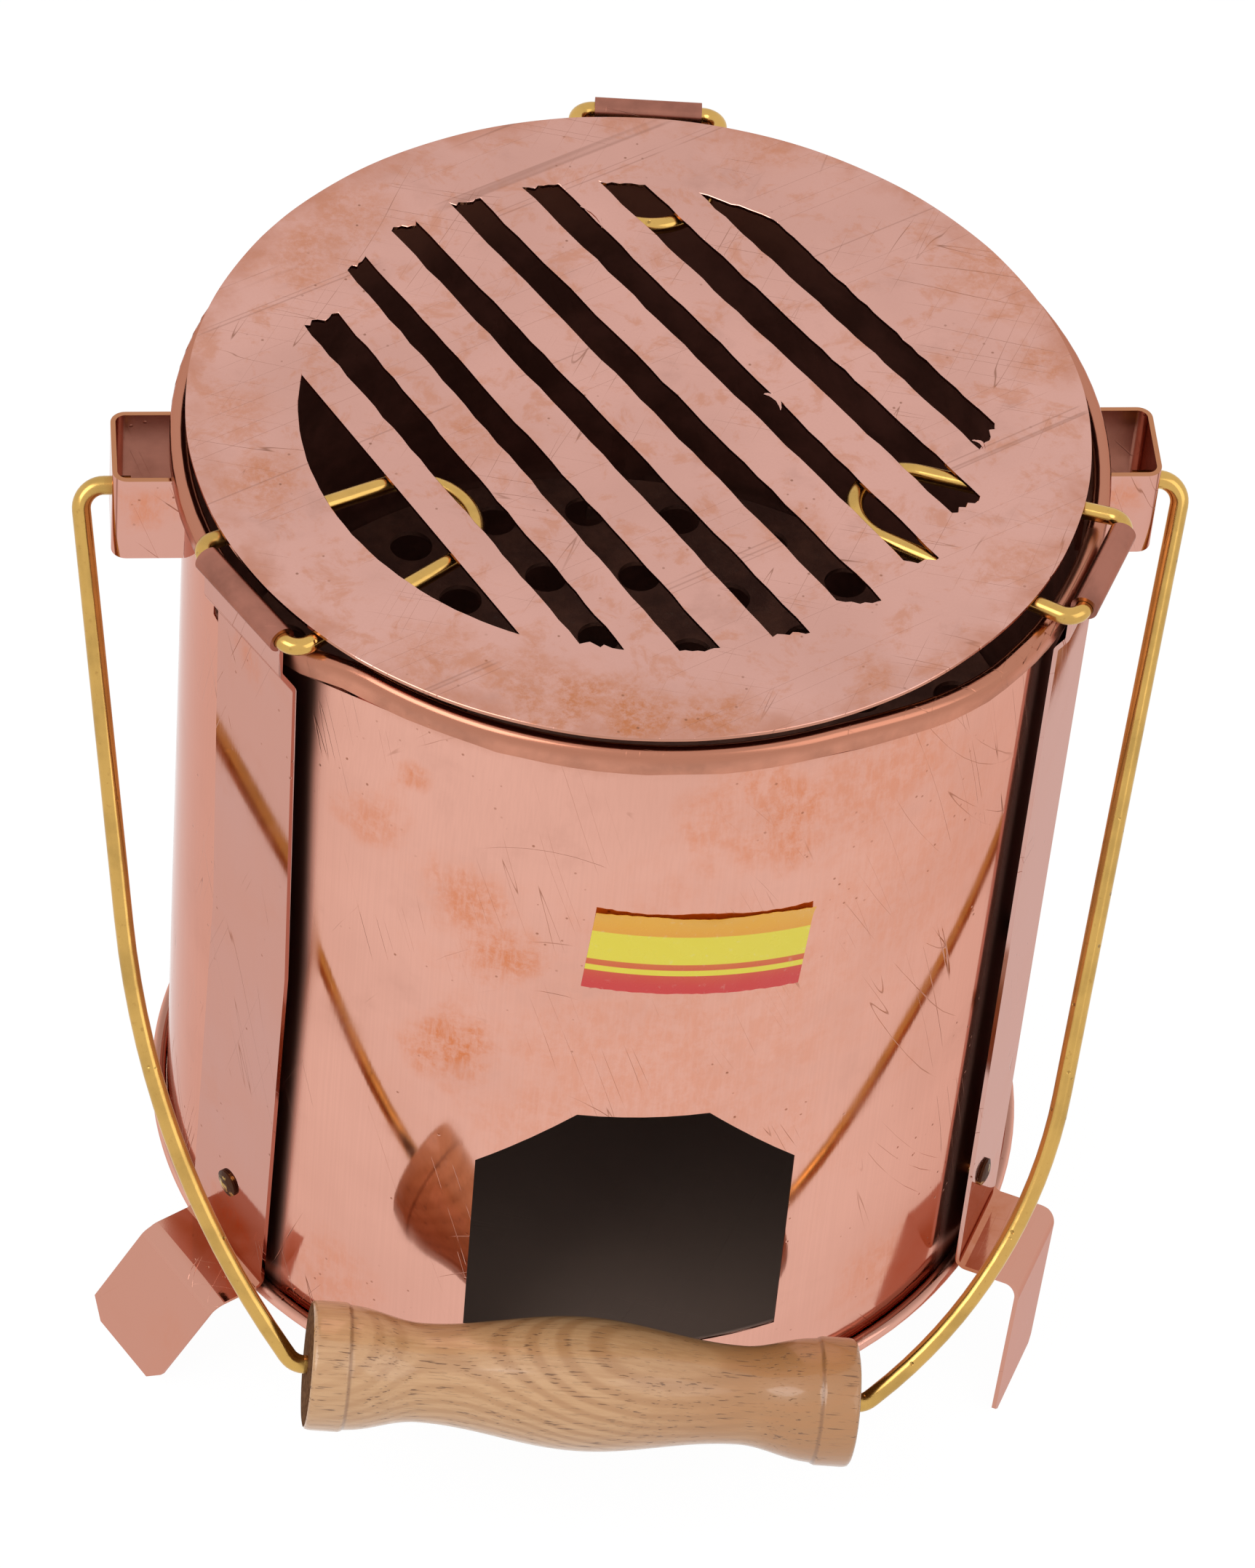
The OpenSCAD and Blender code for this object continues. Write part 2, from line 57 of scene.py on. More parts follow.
# Places of the drum, in metres
WALL_R = 0.090
WALL_IN = 0.0891
HEM_LOW = 0.2135
RIM_TOP = 0.219

# Strap legs: angle round the drum, half width, sideways lean for each metre of height, and the
# distance by which the strap jogs sideways
STRAPS = (
    (math.radians(-149), 0.0130, 0.0, 0.0038),
    (math.radians(-26), 0.0115, -0.0319, 0.0),
    (math.radians(85), 0.0110, 0.0, 0.0),
)

# Heights between which a strap's jog grows, and between which it goes again below the hem, and the
# heights where the strap gets a line of points for it
JOG_HEIGHTS = (0.032, 0.129, 0.2058, 0.2133)
JOG_RINGS = (0.129, 0.080)

# Between the front legs the rim stands higher and further in: how much, between which angles it
# comes and goes, and between which heights it starts
SET_UP = 0.0030
SET_IN = 0.0020
SET_ANGLES = tuple(math.radians(a) for a in (-143, -130, -72, -44))
SET_HEIGHTS = (0.185, 0.2125)

# Copper keeps its colour where it is seen at a low angle
EDGE_TINT = {"Specular Tint": (0.80, 0.60, 0.55, 1)}

# The plate's middle and its underside
PLATE_MID = (-0.0010, -0.0003)
PLATE_LOW = 0.22418

# Corners of each slot round the plate's middle, in millimetres: left and right corner of the back
# end, then right and left corner of the front end
SLOTS = (
    ((-64.8, 26.2), (-57.8, 29.6), (-7.8, -65.4), (-16.5, -63.1)),
    ((-55.3, 42.3), (-51.4, 46.5), (10.6, -65.6), (2.4, -65.5)),
    ((-45.9, 54.5), (-40.4, 56.6), (28.0, -61.1), (20.9, -62.2)),
    ((-33.3, 61.8), (-27.5, 64.1), (43.0, -52.9), (34.4, -53.0)),
    ((-18.5, 67.4), (-10.8, 67.7), (55.1, -41.2), (48.4, -42.0)),
    ((-2.7, 68.7), (6.8, 67.7), (65.1, -24.1), (59.0, -28.7)),
    ((17.0, 65.8), (31.5, 58.0), (70.0, -3.1), (66.7, -11.0)),
)

# Two points of the straight cut that bounds the half-moon opening, and that opening's radius
MOON_CUT = ((-67.7, 15.4), (-28.2, -59.9))
MOON_R = 0.0670

# Levels: the line between the base bead and the wall, and the foot and upper part of the rim's roll
BEAD_LINE = 0.0306
ROLL_LOW = 0.2155
ROLL_MID = 0.2180

# The label: its direction round the drum, its tilt, its middle's height, width and height
LABEL_TURN = math.radians(-85)
LABEL_TILT = math.radians(-4.5)
LABEL_Z = 0.165
LABEL_SIZE = (0.0438, 0.0218)

# The camera's place and turn, its lens and the height of its sensor, both in millimetres
CAMERA_PLACE = (-0.1437, -1.0227, 1.18175)
CAMERA_TURN = (0.769636, -0.064785, -0.076210)
CAMERA_LENS = 164.29
CAMERA_SENSOR = 36

# Lamps: name, place, side and power in watts
LAMPS = (
    ("key_lamp", (-0.9, -0.7, 1.5), 1.0, 9.0),
    ("fill_lamp", (1.1, -0.9, 1.1), 1.2, 4.0),
)

# Slivers of sheet left standing at the slots: place, length, width and seed
BURRS = (
    ((-0.0063, 0.0580), 0.0075, 0.0008, 3),
    ((0.0255, 0.0030), 0.0055, 0.0010, 4),
    ((0.0650, -0.0100), 0.0040, 0.0006, 6),
)
BURR_TURN = math.radians(-58)

# Tones of dirt and wear, and of painted shade and painted reflection
# Painted shadow and painted reflection of the gap beside the straps
STRAP_GAP_SHADOW = (0.20, 0.075, 0.048)
# Painted shade in the groove above the base bead
BEAD_GROOVE_SHADE = (0.16, 0.055, 0.033)
CUT_SIDE = (0.34, 0.13, 0.060)
CUT_EDGE = (0.50, 0.24, 0.17)
SCRIBED_LINE = (0.22, 0.10, 0.07)
# Painted reflection of the drum and painted shade on the tabs
TAB_REFLECTION_AND_SHADE = (0.42, 0.125, 0.050)
# Painted shade on the straps' faces toward the drum
STRAP_BACK_SHADE = (0.24, 0.09, 0.055)
# Painted shade between a bracket's arms, in two tones
BRACKET_INSIDE_SHADE = ((0.34, 0.140, 0.100), (0.23, 0.085, 0.058))
# Painted reflection along a bracket's top edge
BRACKET_TOP_REFLECTION = (0.46, 0.20, 0.10)
BRASS_DULL = (0.30, 0.145, 0.035)
BRASS_NICK = (0.14, 0.065, 0.018)
RIVET_BROWN = (0.075, 0.028, 0.014)
END_GRAIN = ((0.20, 0.095, 0.042), (0.09, 0.038, 0.016))
OAK_WARM = (0.46, 0.195, 0.062)
OAK_PORE = (0.15, 0.058, 0.018)
OAK_GROOVE = (0.24, 0.10, 0.035)
STEEL_SCALE = ((0.150, 0.066, 0.048), (0.270, 0.120, 0.080))
STEEL_DUST = (0.24, 0.19, 0.16)
STRIPE_YELLOW = (0.83, 0.70, 0.05)
PAPER_SPECK = (0.95, 0.85, 0.70)

# The grip's middle and the direction of its axis
GRIP_MID = (-0.0095, -0.102963, 0.0508)
GRIP_AXIS = (0.995884, -0.052783, -0.073677)


# ---------------------------------------------------------------- modelling steps


def nothing_selected():
    if bpy.context.object and bpy.context.object.mode != "OBJECT":
        bpy.ops.object.mode_set(mode="OBJECT")
    bpy.ops.object.select_all(action="DESELECT")


def only(obj):
    """Selects one object and makes it active."""
    nothing_selected()
    obj.select_set(True)
    bpy.context.view_layer.objects.active = obj
    return obj


def pick(obj, test):
    """In edit mode, selects the points that pass the test, and nothing else."""
    bpy.ops.mesh.select_mode(type="VERT")
    bpy.ops.mesh.select_all(action="DESELECT")
    bpy.ops.object.mode_set(mode="OBJECT")
    for point in obj.data.vertices:
        point.select = bool(test(point))
    bpy.ops.object.mode_set(mode="EDIT")


def shaped(obj, *steps):
    """Runs edit steps on the whole of a piece, each a tool and its settings."""
    only(obj)
    bpy.ops.object.mode_set(mode="EDIT")
    for tool, settings in steps:
        bpy.ops.mesh.select_all(action="SELECT")
        tool(**settings)
    bpy.ops.object.mode_set(mode="OBJECT")


# The edit step that turns every face outward
FACE_OUT = (bpy.ops.mesh.normals_make_consistent, {"inside": False})


def ringed(obj, heights):
    """Adds a level line of points at each height."""
    shaped(obj, *[(bpy.ops.mesh.bisect, {"plane_co": (0, 0, z), "plane_no": (0, 0, 1)}) for z in heights])


def apply_modifier(obj, kind, **settings):
    only(obj)
    modifier = obj.modifiers.new(kind.lower(), kind)
    for key, value in settings.items():
        setattr(modifier, key, value)
    bpy.ops.object.modifier_apply(modifier=modifier.name)


def settle(obj, name, node, body, angle=35):
    """Finishes a piece: smooth faces, its place in its mesh, and its node and body."""
    only(obj)
    bpy.ops.object.transform_apply(location=True, rotation=True, scale=True)
    bpy.ops.object.shade_smooth_by_angle(angle=math.radians(angle))
    obj.name = name
    obj.data.name = name
    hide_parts(node)
    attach(obj, body)
    return obj


def softened_copy(node, edge, flat=0.6):
    """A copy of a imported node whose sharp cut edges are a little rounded."""
    nothing_selected()
    piece = node.copy()
    piece.data = node.data.copy()
    piece.parent = None
    piece.matrix_world = node.matrix_world.copy()
    bpy.context.collection.objects.link(piece)
    shaped(piece, (bpy.ops.mesh.remove_doubles, {"threshold": 0.000004}),
           (bpy.ops.mesh.dissolve_limited, {"angle_limit": math.radians(flat)}))
    apply_modifier(piece, "BEVEL", width=edge, segments=2, limit_method="ANGLE",
                   angle_limit=math.radians(50), use_clamp_overlap=True, harden_normals=False)
    return piece


def smooth(value, start, end):
    """Runs from 0 to 1 while value runs from start to end."""
    share = min(1.0, max(0.0, (value - start) / (end - start)))
    return share * share * (3 - 2 * share)


def hand_set(point):
    """Moves a point of the rim to where it was set by hand, between the front legs."""
    x, y, z = point.co
    angle, radius = math.atan2(y, x), math.hypot(x, y)
    a, b, c, d = SET_ANGLES
    share = smooth(angle, a, b) * (1 - smooth(angle, c, d)) * smooth(z, *SET_HEIGHTS)
    reach = (radius - SET_IN * share) / radius
    point.co = (x * reach, y * reach, z + SET_UP * share)


def flattened(obj):
    """Keeps flat faces looking flat beside their rounded edges."""
    apply_modifier(obj, "WEIGHTED_NORMAL", keep_sharp=True, weight=80)
    return obj


def swayed(angle, seed, size):
    """A smooth uneven offset round a circle, as hand cutting leaves."""
    dice = random.Random(seed)
    waves = [(k, dice.uniform(-1, 1), dice.uniform(0, 2 * math.pi)) for k in (2, 3, 5, 8, 13, 21)]
    return size * sum(w / math.sqrt(k) * math.cos(k * angle + p) for k, w, p in waves)


# ---------------------------------------------------------------- node graphs


class Finish:
    """A material that is built up from named steps."""

    def __init__(self, name):
        self.material = bpy.data.materials.new(name)
        self.material.use_nodes = True
        self.tree = self.material.node_tree
        self.tree.nodes.clear()
        self.at = self.put("ShaderNodeTexCoord").outputs["Object"]

    def put(self, kind, sockets=None, **settings):
        """Adds a node, sets its settings, and sets or links its sockets."""
        node = self.tree.nodes.new(kind)
        for key, value in settings.items():
            setattr(node, key, value)
        for key, value in (sockets or {}).items():
            if isinstance(value, bpy.types.NodeSocket):
                self.tree.links.new(value, node.inputs[key])
            else:
                node.inputs[key].default_value = value
        return node

    def moved(self, at=None, place=(0, 0, 0), turn=(0, 0, 0), stretch=(1, 1, 1), kind="POINT"):
        """Coordinates that are stretched, turned and moved."""
        return self.put("ShaderNodeMapping", {0: at or self.at, "Location": place, "Rotation": turn,
                        "Scale": stretch}, vector_type=kind).outputs[0]

    def noise(self, scale, at=None, detail=3.0, rough=0.55, swirl=0.0):
        return self.put("ShaderNodeTexNoise", {"Vector": at or self.at, "Scale": scale, "Detail": detail,
                        "Roughness": rough, "Distortion": swirl}).outputs["Fac"]

    def cells(self, scale):
        """Distance from the nearest of many scattered points."""
        return self.put("ShaderNodeTexVoronoi", {"Vector": self.at, "Scale": scale}).outputs["Distance"]

    def math(self, how, a, b=0.0, c=0.0):
        return self.put("ShaderNodeMath", {0: a, 1: b, 2: c}, operation=how).outputs[0]

    def times(self, a, b):
        return self.math("MULTIPLY", a, b)

    def plus(self, a, b):
        return self.math("ADD", a, b)

    def larger(self, a, b):
        return self.math("MAXIMUM", a, b)

    def size_of(self, a):
        return self.math("ABSOLUTE", a)

    def fade(self, value, start, end, low=0.0, high=1.0):
        """Runs from low to high while value runs from start to end."""
        return self.put("ShaderNodeMapRange", {"Value": value, "From Min": start, "From Max": end,
                        "To Min": low, "To Max": high}, interpolation_type="SMOOTHSTEP").outputs[0]

    def mix(self, share, a, b):
        """Blends two colours: a where share is 0, b where it is 1."""
        node = self.put("ShaderNodeMix", {0: share}, data_type="RGBA")
        for key, value in ((6, a), (7, b)):
            if isinstance(value, bpy.types.NodeSocket):
                self.tree.links.new(value, node.inputs[key])
            else:
                node.inputs[key].default_value = (*value[:3], 1)
        return node.outputs[2]

    def split(self, at=None):
        node = self.put("ShaderNodeSeparateXYZ", {0: at or self.at})
        return node.outputs[0], node.outputs[1], node.outputs[2]

    def radius(self, x, y):
        """Distance of a point from the origin of its plane."""
        return self.math("SQRT", self.plus(self.times(x, x), self.times(y, y)))

    def facing(self, x, y):
        """How squarely a face looks away from the Z axis, times its distance from that axis."""
        own = self.put("ShaderNodeNewGeometry").outputs["True Normal"]
        out = self.join(x, y, 0.0)
        return self.put("ShaderNodeVectorMath", {0: own, 1: out}, operation="DOT_PRODUCT").outputs["Value"]

    def centred(self, value, size):
        """A noise value moved to run evenly to both sides of 0, and scaled."""
        return self.times(self.math("SUBTRACT", value, 0.5), size)

    def off(self, value, middle):
        """Distance of a value from a middle."""
        return self.size_of(self.math("SUBTRACT", value, middle))

    def join(self, x, y, z):
        return self.put("ShaderNodeCombineXYZ", {0: x, 1: y, 2: z}).outputs[0]

    def bump(self, height, depth, strength=1.0, below=None):
        sockets = {"Height": height, "Distance": depth, "Strength": strength}
        if below is not None:
            sockets["Normal"] = below
        return self.put("ShaderNodeBump", sockets).outputs[0]

    def scratches(self, turn, scale, thin, length=40.0):
        """Thin straight lines in one direction: 1 on a line and 0 beside it."""
        at = self.moved(turn=turn)
        at = self.moved(at, stretch=(scale, scale / length, scale / length))
        return self.fade(self.off(self.noise(1.0, at, 1.0, 0.4), 0.5), 0.0, thin, 1.0, 0.0)

    def round_normal(self, x, y, share):
        """The true round direction where share is 1, and the mesh's own normal where it is 0."""
        out = self.put("ShaderNodeVectorMath", {0: self.join(x, y, 0.0)}, operation="NORMALIZE").outputs[0]
        out = self.put("ShaderNodeVectorTransform", {0: out}, vector_type="NORMAL",
                       convert_from="OBJECT", convert_to="WORLD").outputs[0]
        own = self.put("ShaderNodeNewGeometry").outputs["Normal"]
        node = self.put("ShaderNodeMix", {0: share}, data_type="VECTOR")
        self.tree.links.new(own, node.inputs[4])
        self.tree.links.new(out, node.inputs[5])
        return node.outputs[1]

    def surface(self, colour, metallic, roughness, normal=None, **fixed):
        sockets = {"Base Color": colour, "Metallic": metallic, "Roughness": roughness, **fixed}
        if normal is not None:
            sockets["Normal"] = normal
        shader = self.put("ShaderNodeBsdfPrincipled", sockets)
        self.put("ShaderNodeOutputMaterial", {"Surface": shader.outputs[0]})
        return self.material


def paint(obj, material):
    """Gives a piece one finish all over."""
    obj.data.materials.clear()
    obj.data.materials.append(material)


# ---------------------------------------------------------------- finishes


def near_spots(f, spots, ragged):
    """How far a point lies inside the nearest of the spots, each a place, reach and share."""
    total = 0.0
    for place, reach, share in spots:
        away = f.put("ShaderNodeVectorMath", {0: f.at, 1: place}, operation="DISTANCE").outputs["Value"]
        away = f.plus(away, f.centred(ragged, reach * 2.6))
        total = f.larger(total, f.fade(away, reach * 0.15, reach * 1.35, share, 0.0))
    return total


def copper_skin(f, bright, dull, stain, spots, brushing, tarnish=0.45):
    """Colour, roughness, marks and clouds of polished copper sheet."""
    broad = f.noise(20, detail=3)
    cloud = f.noise(62, detail=5, rough=0.6, swirl=0.2)
    blotch = f.noise(210, detail=6, rough=0.75)
    streak = f.noise(1.0, f.moved(stretch=(700, 700, 150)), 5, 0.7)
    brushed = f.noise(1.0, f.moved(stretch=(2100, 2100, 26)), 2, 0.5)
    colour = f.mix(f.fade(broad, 0.35, 0.68), bright, [0.6 * a + 0.4 * b for a, b in zip(bright, dull)])
    colour = f.mix(f.fade(cloud, 0.54, 0.80, 0, tarnish), colour, dull)
    colour = f.mix(f.fade(brushed, 0.35, 0.65, 0, brushing), colour, dull)
    marked = near_spots(f, spots, cloud)
    grain = f.times(f.fade(blotch, 0.38, 0.58, 0.35, 1.0), f.fade(streak, 0.36, 0.58, 0.45, 1.0))
    marked = f.times(marked, grain)
    colour = f.mix(marked, colour, stain)
    lines = f.larger(f.scratches((0.3, 0.2, 0.5), 230, 0.0035),
                   f.scratches((0.9, 1.3, -0.4), 180, 0.0025))
    lines = f.times(lines, f.fade(f.noise(36, detail=2), 0.49, 0.60))
    dots = f.fade(f.cells(300), 0.05, 0.12, 1.0, 0.0)
    dots = f.times(dots, f.fade(f.noise(50, detail=2), 0.50, 0.60))
    worn = f.larger(lines, dots)
    colour = f.mix(f.times(worn, 0.65), colour, [x * 0.35 for x in stain])
    rough = f.plus(f.fade(cloud, 0.3, 0.8, 0.045, 0.12), f.times(marked, 0.14))
    return colour, rough, worn, cloud, brushed


def copper_relief(f, worn, brushed, sway, normal=None):
    """Gentle hammering and rolling waves, brush lines and scratches."""
    relief = f.bump(f.noise(10, detail=0), sway, 0.4, normal)
    relief = f.bump(f.noise(33, detail=0), sway * 0.05, 0.4, relief)
    relief = f.bump(brushed, 0.00002, 0.15, relief)
    return f.bump(worn, -0.00010, 0.4, relief)


def drum_copper(colours):
    """The drum: pink polished copper outside with heat stains, a browner hem and a sooty inside."""
    f = Finish("drum_copper")
    spots = (
        ((-0.0559, -0.0706, 0.1845), 0.0085, 0.55),
        ((-0.0377, -0.0817, 0.1735), 0.0130, 0.70),
        ((-0.0300, -0.0848, 0.1600), 0.0100, 0.85),
        ((-0.0384, -0.0814, 0.1290), 0.0115, 1.00),
        ((0.0219, -0.0873, 0.1998), 0.0150, 0.80),
        ((0.0370, -0.0820, 0.2030), 0.0230, 0.45),
        ((-0.0480, -0.0760, 0.2010), 0.0040, 0.80),
        ((0.0560, -0.0705, 0.0480), 0.0140, 0.35),
        ((-0.0600, -0.0670, 0.0420), 0.0130, 0.35),
        ((0.0050, -0.0899, 0.1350), 0.0450, 0.32),
        ((0.0500, -0.0748, 0.1700), 0.0300, 0.25),
        ((0.0640, 0.0632, 0.1200), 0.0260, 0.60),
        ((-0.0640, 0.0632, 0.1500), 0.0200, 0.55),
        ((-0.0890, 0.0100, 0.0900), 0.0180, 0.45),
        ((0.0880, 0.0150, 0.1700), 0.0150, 0.55),
    )
    colour, rough, worn, cloud, brushed = copper_skin(
        f, colours.drum, colours.drum_dull, colours.stain, spots, brushing=0.12)
    x, y, z = f.split()
    radius = f.radius(x, y)
    ragged = f.centred(f.noise(420, detail=4), 0.004)
    angle = f.math("ARCTAN2", y, x)
    a, b, c, d = SET_ANGLES
    moved = f.times(f.times(f.fade(angle, a, b), f.fade(angle, c, d, 1, 0)),
                   f.fade(z, *SET_HEIGHTS))
    z = f.math("SUBTRACT", z, f.times(moved, SET_UP))
    radius = f.plus(radius, f.times(moved, SET_IN))

    for turn, half, lean, jog in STRAPS:
        side = f.math("SUBTRACT", f.times(y, math.cos(turn)),
                      f.times(x, math.sin(turn)))
        side = f.plus(side, f.times(f.math("SUBTRACT", z, RIM_TOP), lean))
        side = f.math("SUBTRACT", side, f.fade(z, *JOG_HEIGHTS[:2], 0, jog))
        side = f.size_of(side)
        front = f.plus(f.times(y, math.sin(turn)), f.times(x, math.cos(turn)))
        front = f.math("GREATER_THAN", front, 0.0)
        # Painted shadow and painted reflection of the gap beside each strap, on the half of the drum
        # nearest it
        strap_shadow = f.fade(side, half - 0.0010, half + 0.0014, 0.60, 0.0)
        colour = f.mix(f.times(strap_shadow, front), colour, STRAP_GAP_SHADOW)
        haze = f.fade(side, half, half + 0.0070, 0.36, 0.0)
        rough = f.larger(rough, f.times(haze, front))

    under = f.fade(f.plus(z, ragged), HEM_LOW - 0.0055, HEM_LOW - 0.0008, 0.0, 0.5)
    colour = f.mix(f.times(under, f.fade(cloud, 0.35, 0.6, 0.2, 1.0)), colour, colours.hem)
    hem = f.times(f.fade(z, HEM_LOW - 0.0003, HEM_LOW + 0.0001), f.fade(radius, 0.0902, 0.0906))
    rim = f.larger(hem, f.fade(z, 0.2162, 0.2170))
    tone = f.mix(f.fade(cloud, 0.35, 0.7), [c * 1.2 for c in colours.hem], [c * 0.8 for c in colours.hem])
    tone = f.mix(f.fade(z, ROLL_LOW, ROLL_MID), tone, colours.rim)
    colour = f.mix(rim, colour, tone)
    # Painted shade in the groove between the base bead and the wall
    groove = f.fade(f.off(z, BEAD_LINE), 0.0002, 0.0012, 0.7, 0.0)
    colour = f.mix(groove, colour, BEAD_GROOVE_SHADE)

    inside = f.times(f.fade(radius, WALL_IN + 0.0003, WALL_IN + 0.0006, 1.0, 0.0),
                    f.fade(z, ROLL_MID - 0.0005, ROLL_MID + 0.0002, 1.0, 0.0))
    flakes = f.mix(f.fade(cloud, 0.35, 0.7), colours.soot, [c * 1.8 for c in colours.soot])
    flakes = f.mix(f.fade(f.plus(z, ragged), 0.1850, 0.2120), flakes, colours.rim)
    flakes = f.mix(f.fade(z, 0.035, 0.085, 0.9, 0.0), flakes, colours.ash)
    colour = f.mix(inside, colour, flakes)
    rough = f.larger(rough, f.times(inside, 0.5))
    rough = f.larger(rough, f.times(rim, 0.2))
    metal = f.math("SUBTRACT", 1.0, f.times(inside, 0.6))
    wall = f.times(f.math("GREATER_THAN", f.facing(x, y), WALL_R - 0.0045),
                  f.math("LESS_THAN", radius, WALL_R + 0.0003))
    wall = f.times(wall, f.math("LESS_THAN", z, ROLL_LOW))
    relief = copper_relief(f, worn, brushed, 0.0005, f.round_normal(x, y, wall))
    return f.surface(colour, metal, rough, relief, **EDGE_TINT)


def plate_copper(colours):
    """The slotted plate: greyer pink with tarnish at its edge, scribed lines and darker brown cut sides."""
    f = Finish("plate_copper")
    spots = (
        ((-0.0746, -0.0195, 0.225), 0.0100, 0.70),
        ((-0.0800, 0.0020, 0.225), 0.0070, 0.50),
        ((-0.0661, 0.0446, 0.225), 0.0110, 0.60),
        ((-0.0560, 0.0620, 0.225), 0.0100, 0.55),
        ((-0.0288, -0.0770, 0.225), 0.0110, 0.80),
        ((-0.0190, -0.0790, 0.225), 0.0100, 0.95),
        ((-0.0080, -0.0830, 0.225), 0.0100, 1.00),
        ((0.0060, -0.0850, 0.225), 0.0090, 0.90),
        ((-0.0450, -0.0690, 0.225), 0.0100, 0.55),
        ((0.0824, 0.0138, 0.225), 0.0060, 0.75),
        ((0.0780, 0.0400, 0.225), 0.0150, 0.50),
        ((0.0300, 0.0790, 0.225), 0.0090, 0.45),
        ((0.0262, -0.0336, 0.225), 0.0070, 0.55),
        ((-0.0328, -0.0065, 0.225), 0.0090, 0.50),
        ((0.0700, -0.0420, 0.225), 0.0070, 0.45),
        ((0.0380, -0.0730, 0.225), 0.0050, 0.60),
    )
    colour, rough, worn, cloud, brushed = copper_skin(
        f, colours.plate, colours.plate_dull, colours.plate_stain, spots, brushing=0.06, tarnish=0.8)
    x, y, z = f.split(f.moved(place=(-PLATE_MID[0], -PLATE_MID[1], 0)))
    radius = f.radius(x, y)
    ragged = f.centred(f.noise(260, detail=4), 0.006)
    mottle = f.noise(120, detail=6, rough=0.7, swirl=0.4)
    colour = f.mix(f.fade(mottle, 0.50, 0.66, 0, 0.42), colour, colours.plate_stain)
    brim = f.fade(f.plus(radius, ragged), 0.0820, 0.0890, 0.0, 0.75)
    colour = f.mix(f.times(brim, f.fade(cloud, 0.4, 0.62)), colour, colours.hem)
    # Faces that stand upright are darker brown, lighter near the plate's rim
    up = f.size_of(f.split(f.put("ShaderNodeNewGeometry").outputs["True Normal"])[2])
    side = f.fade(up, 0.25, 0.75, 1.0, 0.0)
    colour = f.mix(side, colour, f.mix(f.fade(radius, 0.080, 0.086), CUT_SIDE, CUT_EDGE))
    below = f.fade(z, PLATE_LOW + 0.0001, PLATE_LOW + 0.0003, 0.8, 0.0)
    burnt = f.mix(f.fade(radius, 0.070, 0.083), colours.soot, [c * 1.5 for c in colours.rim])
    colour = f.mix(below, colour, burnt)
    scribed = f.times(f.scratches((0, 0, 1.05), 95, 0.0022, 400),
                     f.fade(f.noise(30, detail=2), 0.46, 0.52))
    colour = f.mix(f.times(scribed, 0.35), colour, SCRIBED_LINE)
    rough = f.plus(rough, 0.05)
    relief = copper_relief(f, worn, brushed, 0.0004)
    return f.surface(colour, 1.0, rough, f.bump(scribed, -0.00006, 0.5, relief), **EDGE_TINT)


def strap_copper(colours):
    """Straps: pale polished sheet, browner in the rolled knuckles, warmer at the feet, with painted shade
    on their faces toward the drum, and a painted reflection of the drum with painted shade on the tabs near
    it.
    """
    f = Finish("strap_copper")
    spots = (
        ((0.0870, -0.0420, 0.0420), 0.0070, 0.65),
        ((-0.0820, -0.0490, 0.0400), 0.0080, 0.70),
        ((0.0820, -0.0520, 0.0300), 0.0100, 0.45),
        ((-0.0950, -0.0620, 0.0120), 0.0100, 0.45),
        ((-0.0800, -0.0480, 0.2050), 0.0060, 0.40),
        ((0.0082, 0.0938, 0.0900), 0.0200, 0.55),
    )
    colour, rough, worn, cloud, brushed = copper_skin(
        f, colours.strap, colours.drum_dull, colours.stain, spots, brushing=0.08)
    x, y, z = f.split()
    radius = f.radius(x, y)
    tab = f.fade(z, 0.0310, 0.0420, 0.85, 0.0)
    colour = f.mix(tab, colour, colours.foot)
    # Painted reflection of the drum and painted shade where the tabs come near the drum, varied by cloud
    near = f.times(f.fade(radius, 0.0965, 0.1030, 1.0, 0.0), f.fade(z, 0.0300, 0.0360, 1.0, 0.0))
    colour = f.mix(f.times(near, f.fade(cloud, 0.35, 0.6, 0.55, 1.0)), colour, TAB_REFLECTION_AND_SHADE)
    # Painted shade on the strap faces that look toward the drum, above the feet
    back = f.times(f.fade(f.facing(x, y), -0.06, -0.03, 0.7, 0.0), f.fade(z, 0.0335, 0.0345))
    colour = f.mix(back, colour, STRAP_BACK_SHADE)
    knuckle = f.fade(z, 0.2185, 0.2197, 0.0, 1.0)
    tone = f.mix(f.fade(cloud, 0.35, 0.7), [c * 1.25 for c in colours.knuckle],
                 [c * 0.8 for c in colours.knuckle])
    colour = f.mix(knuckle, colour, tone)
    rough = f.larger(rough, f.times(knuckle, 0.26))
    return f.surface(colour, 1.0, rough, copper_relief(f, worn, brushed, 0.0003), **EDGE_TINT)


def bracket_copper(colours):
    """Brackets: pink outside, with painted shade, very dark brown, between the arms, and a painted
    orange-brown reflection along the top edge.
    """
    f = Finish("bracket_copper")
    spots = (
        ((-0.0960, -0.0045, 0.2040), 0.0060, 0.60),
        ((0.0960, -0.0045, 0.2060), 0.0050, 0.55),
        ((0.1040, 0.0030, 0.1960), 0.0060, 0.40),
        ((-0.1040, 0.0080, 0.2050), 0.0040, 0.45),
    )
    colour, rough, worn, cloud, brushed = copper_skin(
        f, colours.bracket, colours.drum_dull, colours.stain, spots, brushing=0.05)
    x, y, z = f.split()
    # Painted shade on the faces between the bracket's arms
    inside_shade = f.times(f.fade(f.size_of(x), 0.1033, 0.1036, 1.0, 0.0),
                   f.fade(f.off(y, 0.005), 0.0091, 0.0094, 1.0, 0.0))
    colour = f.mix(inside_shade, colour, f.mix(f.fade(cloud, 0.35, 0.7), *BRACKET_INSIDE_SHADE))
    # Painted orange-brown reflection along the bracket's top edge
    colour = f.mix(f.fade(z, 0.21185, 0.21195), colour, BRACKET_TOP_REFLECTION)
    rough = f.larger(rough, f.times(inside_shade, 0.25))
    return f.surface(colour, 1.0, rough, copper_relief(f, worn, brushed, 0.0002), **EDGE_TINT)


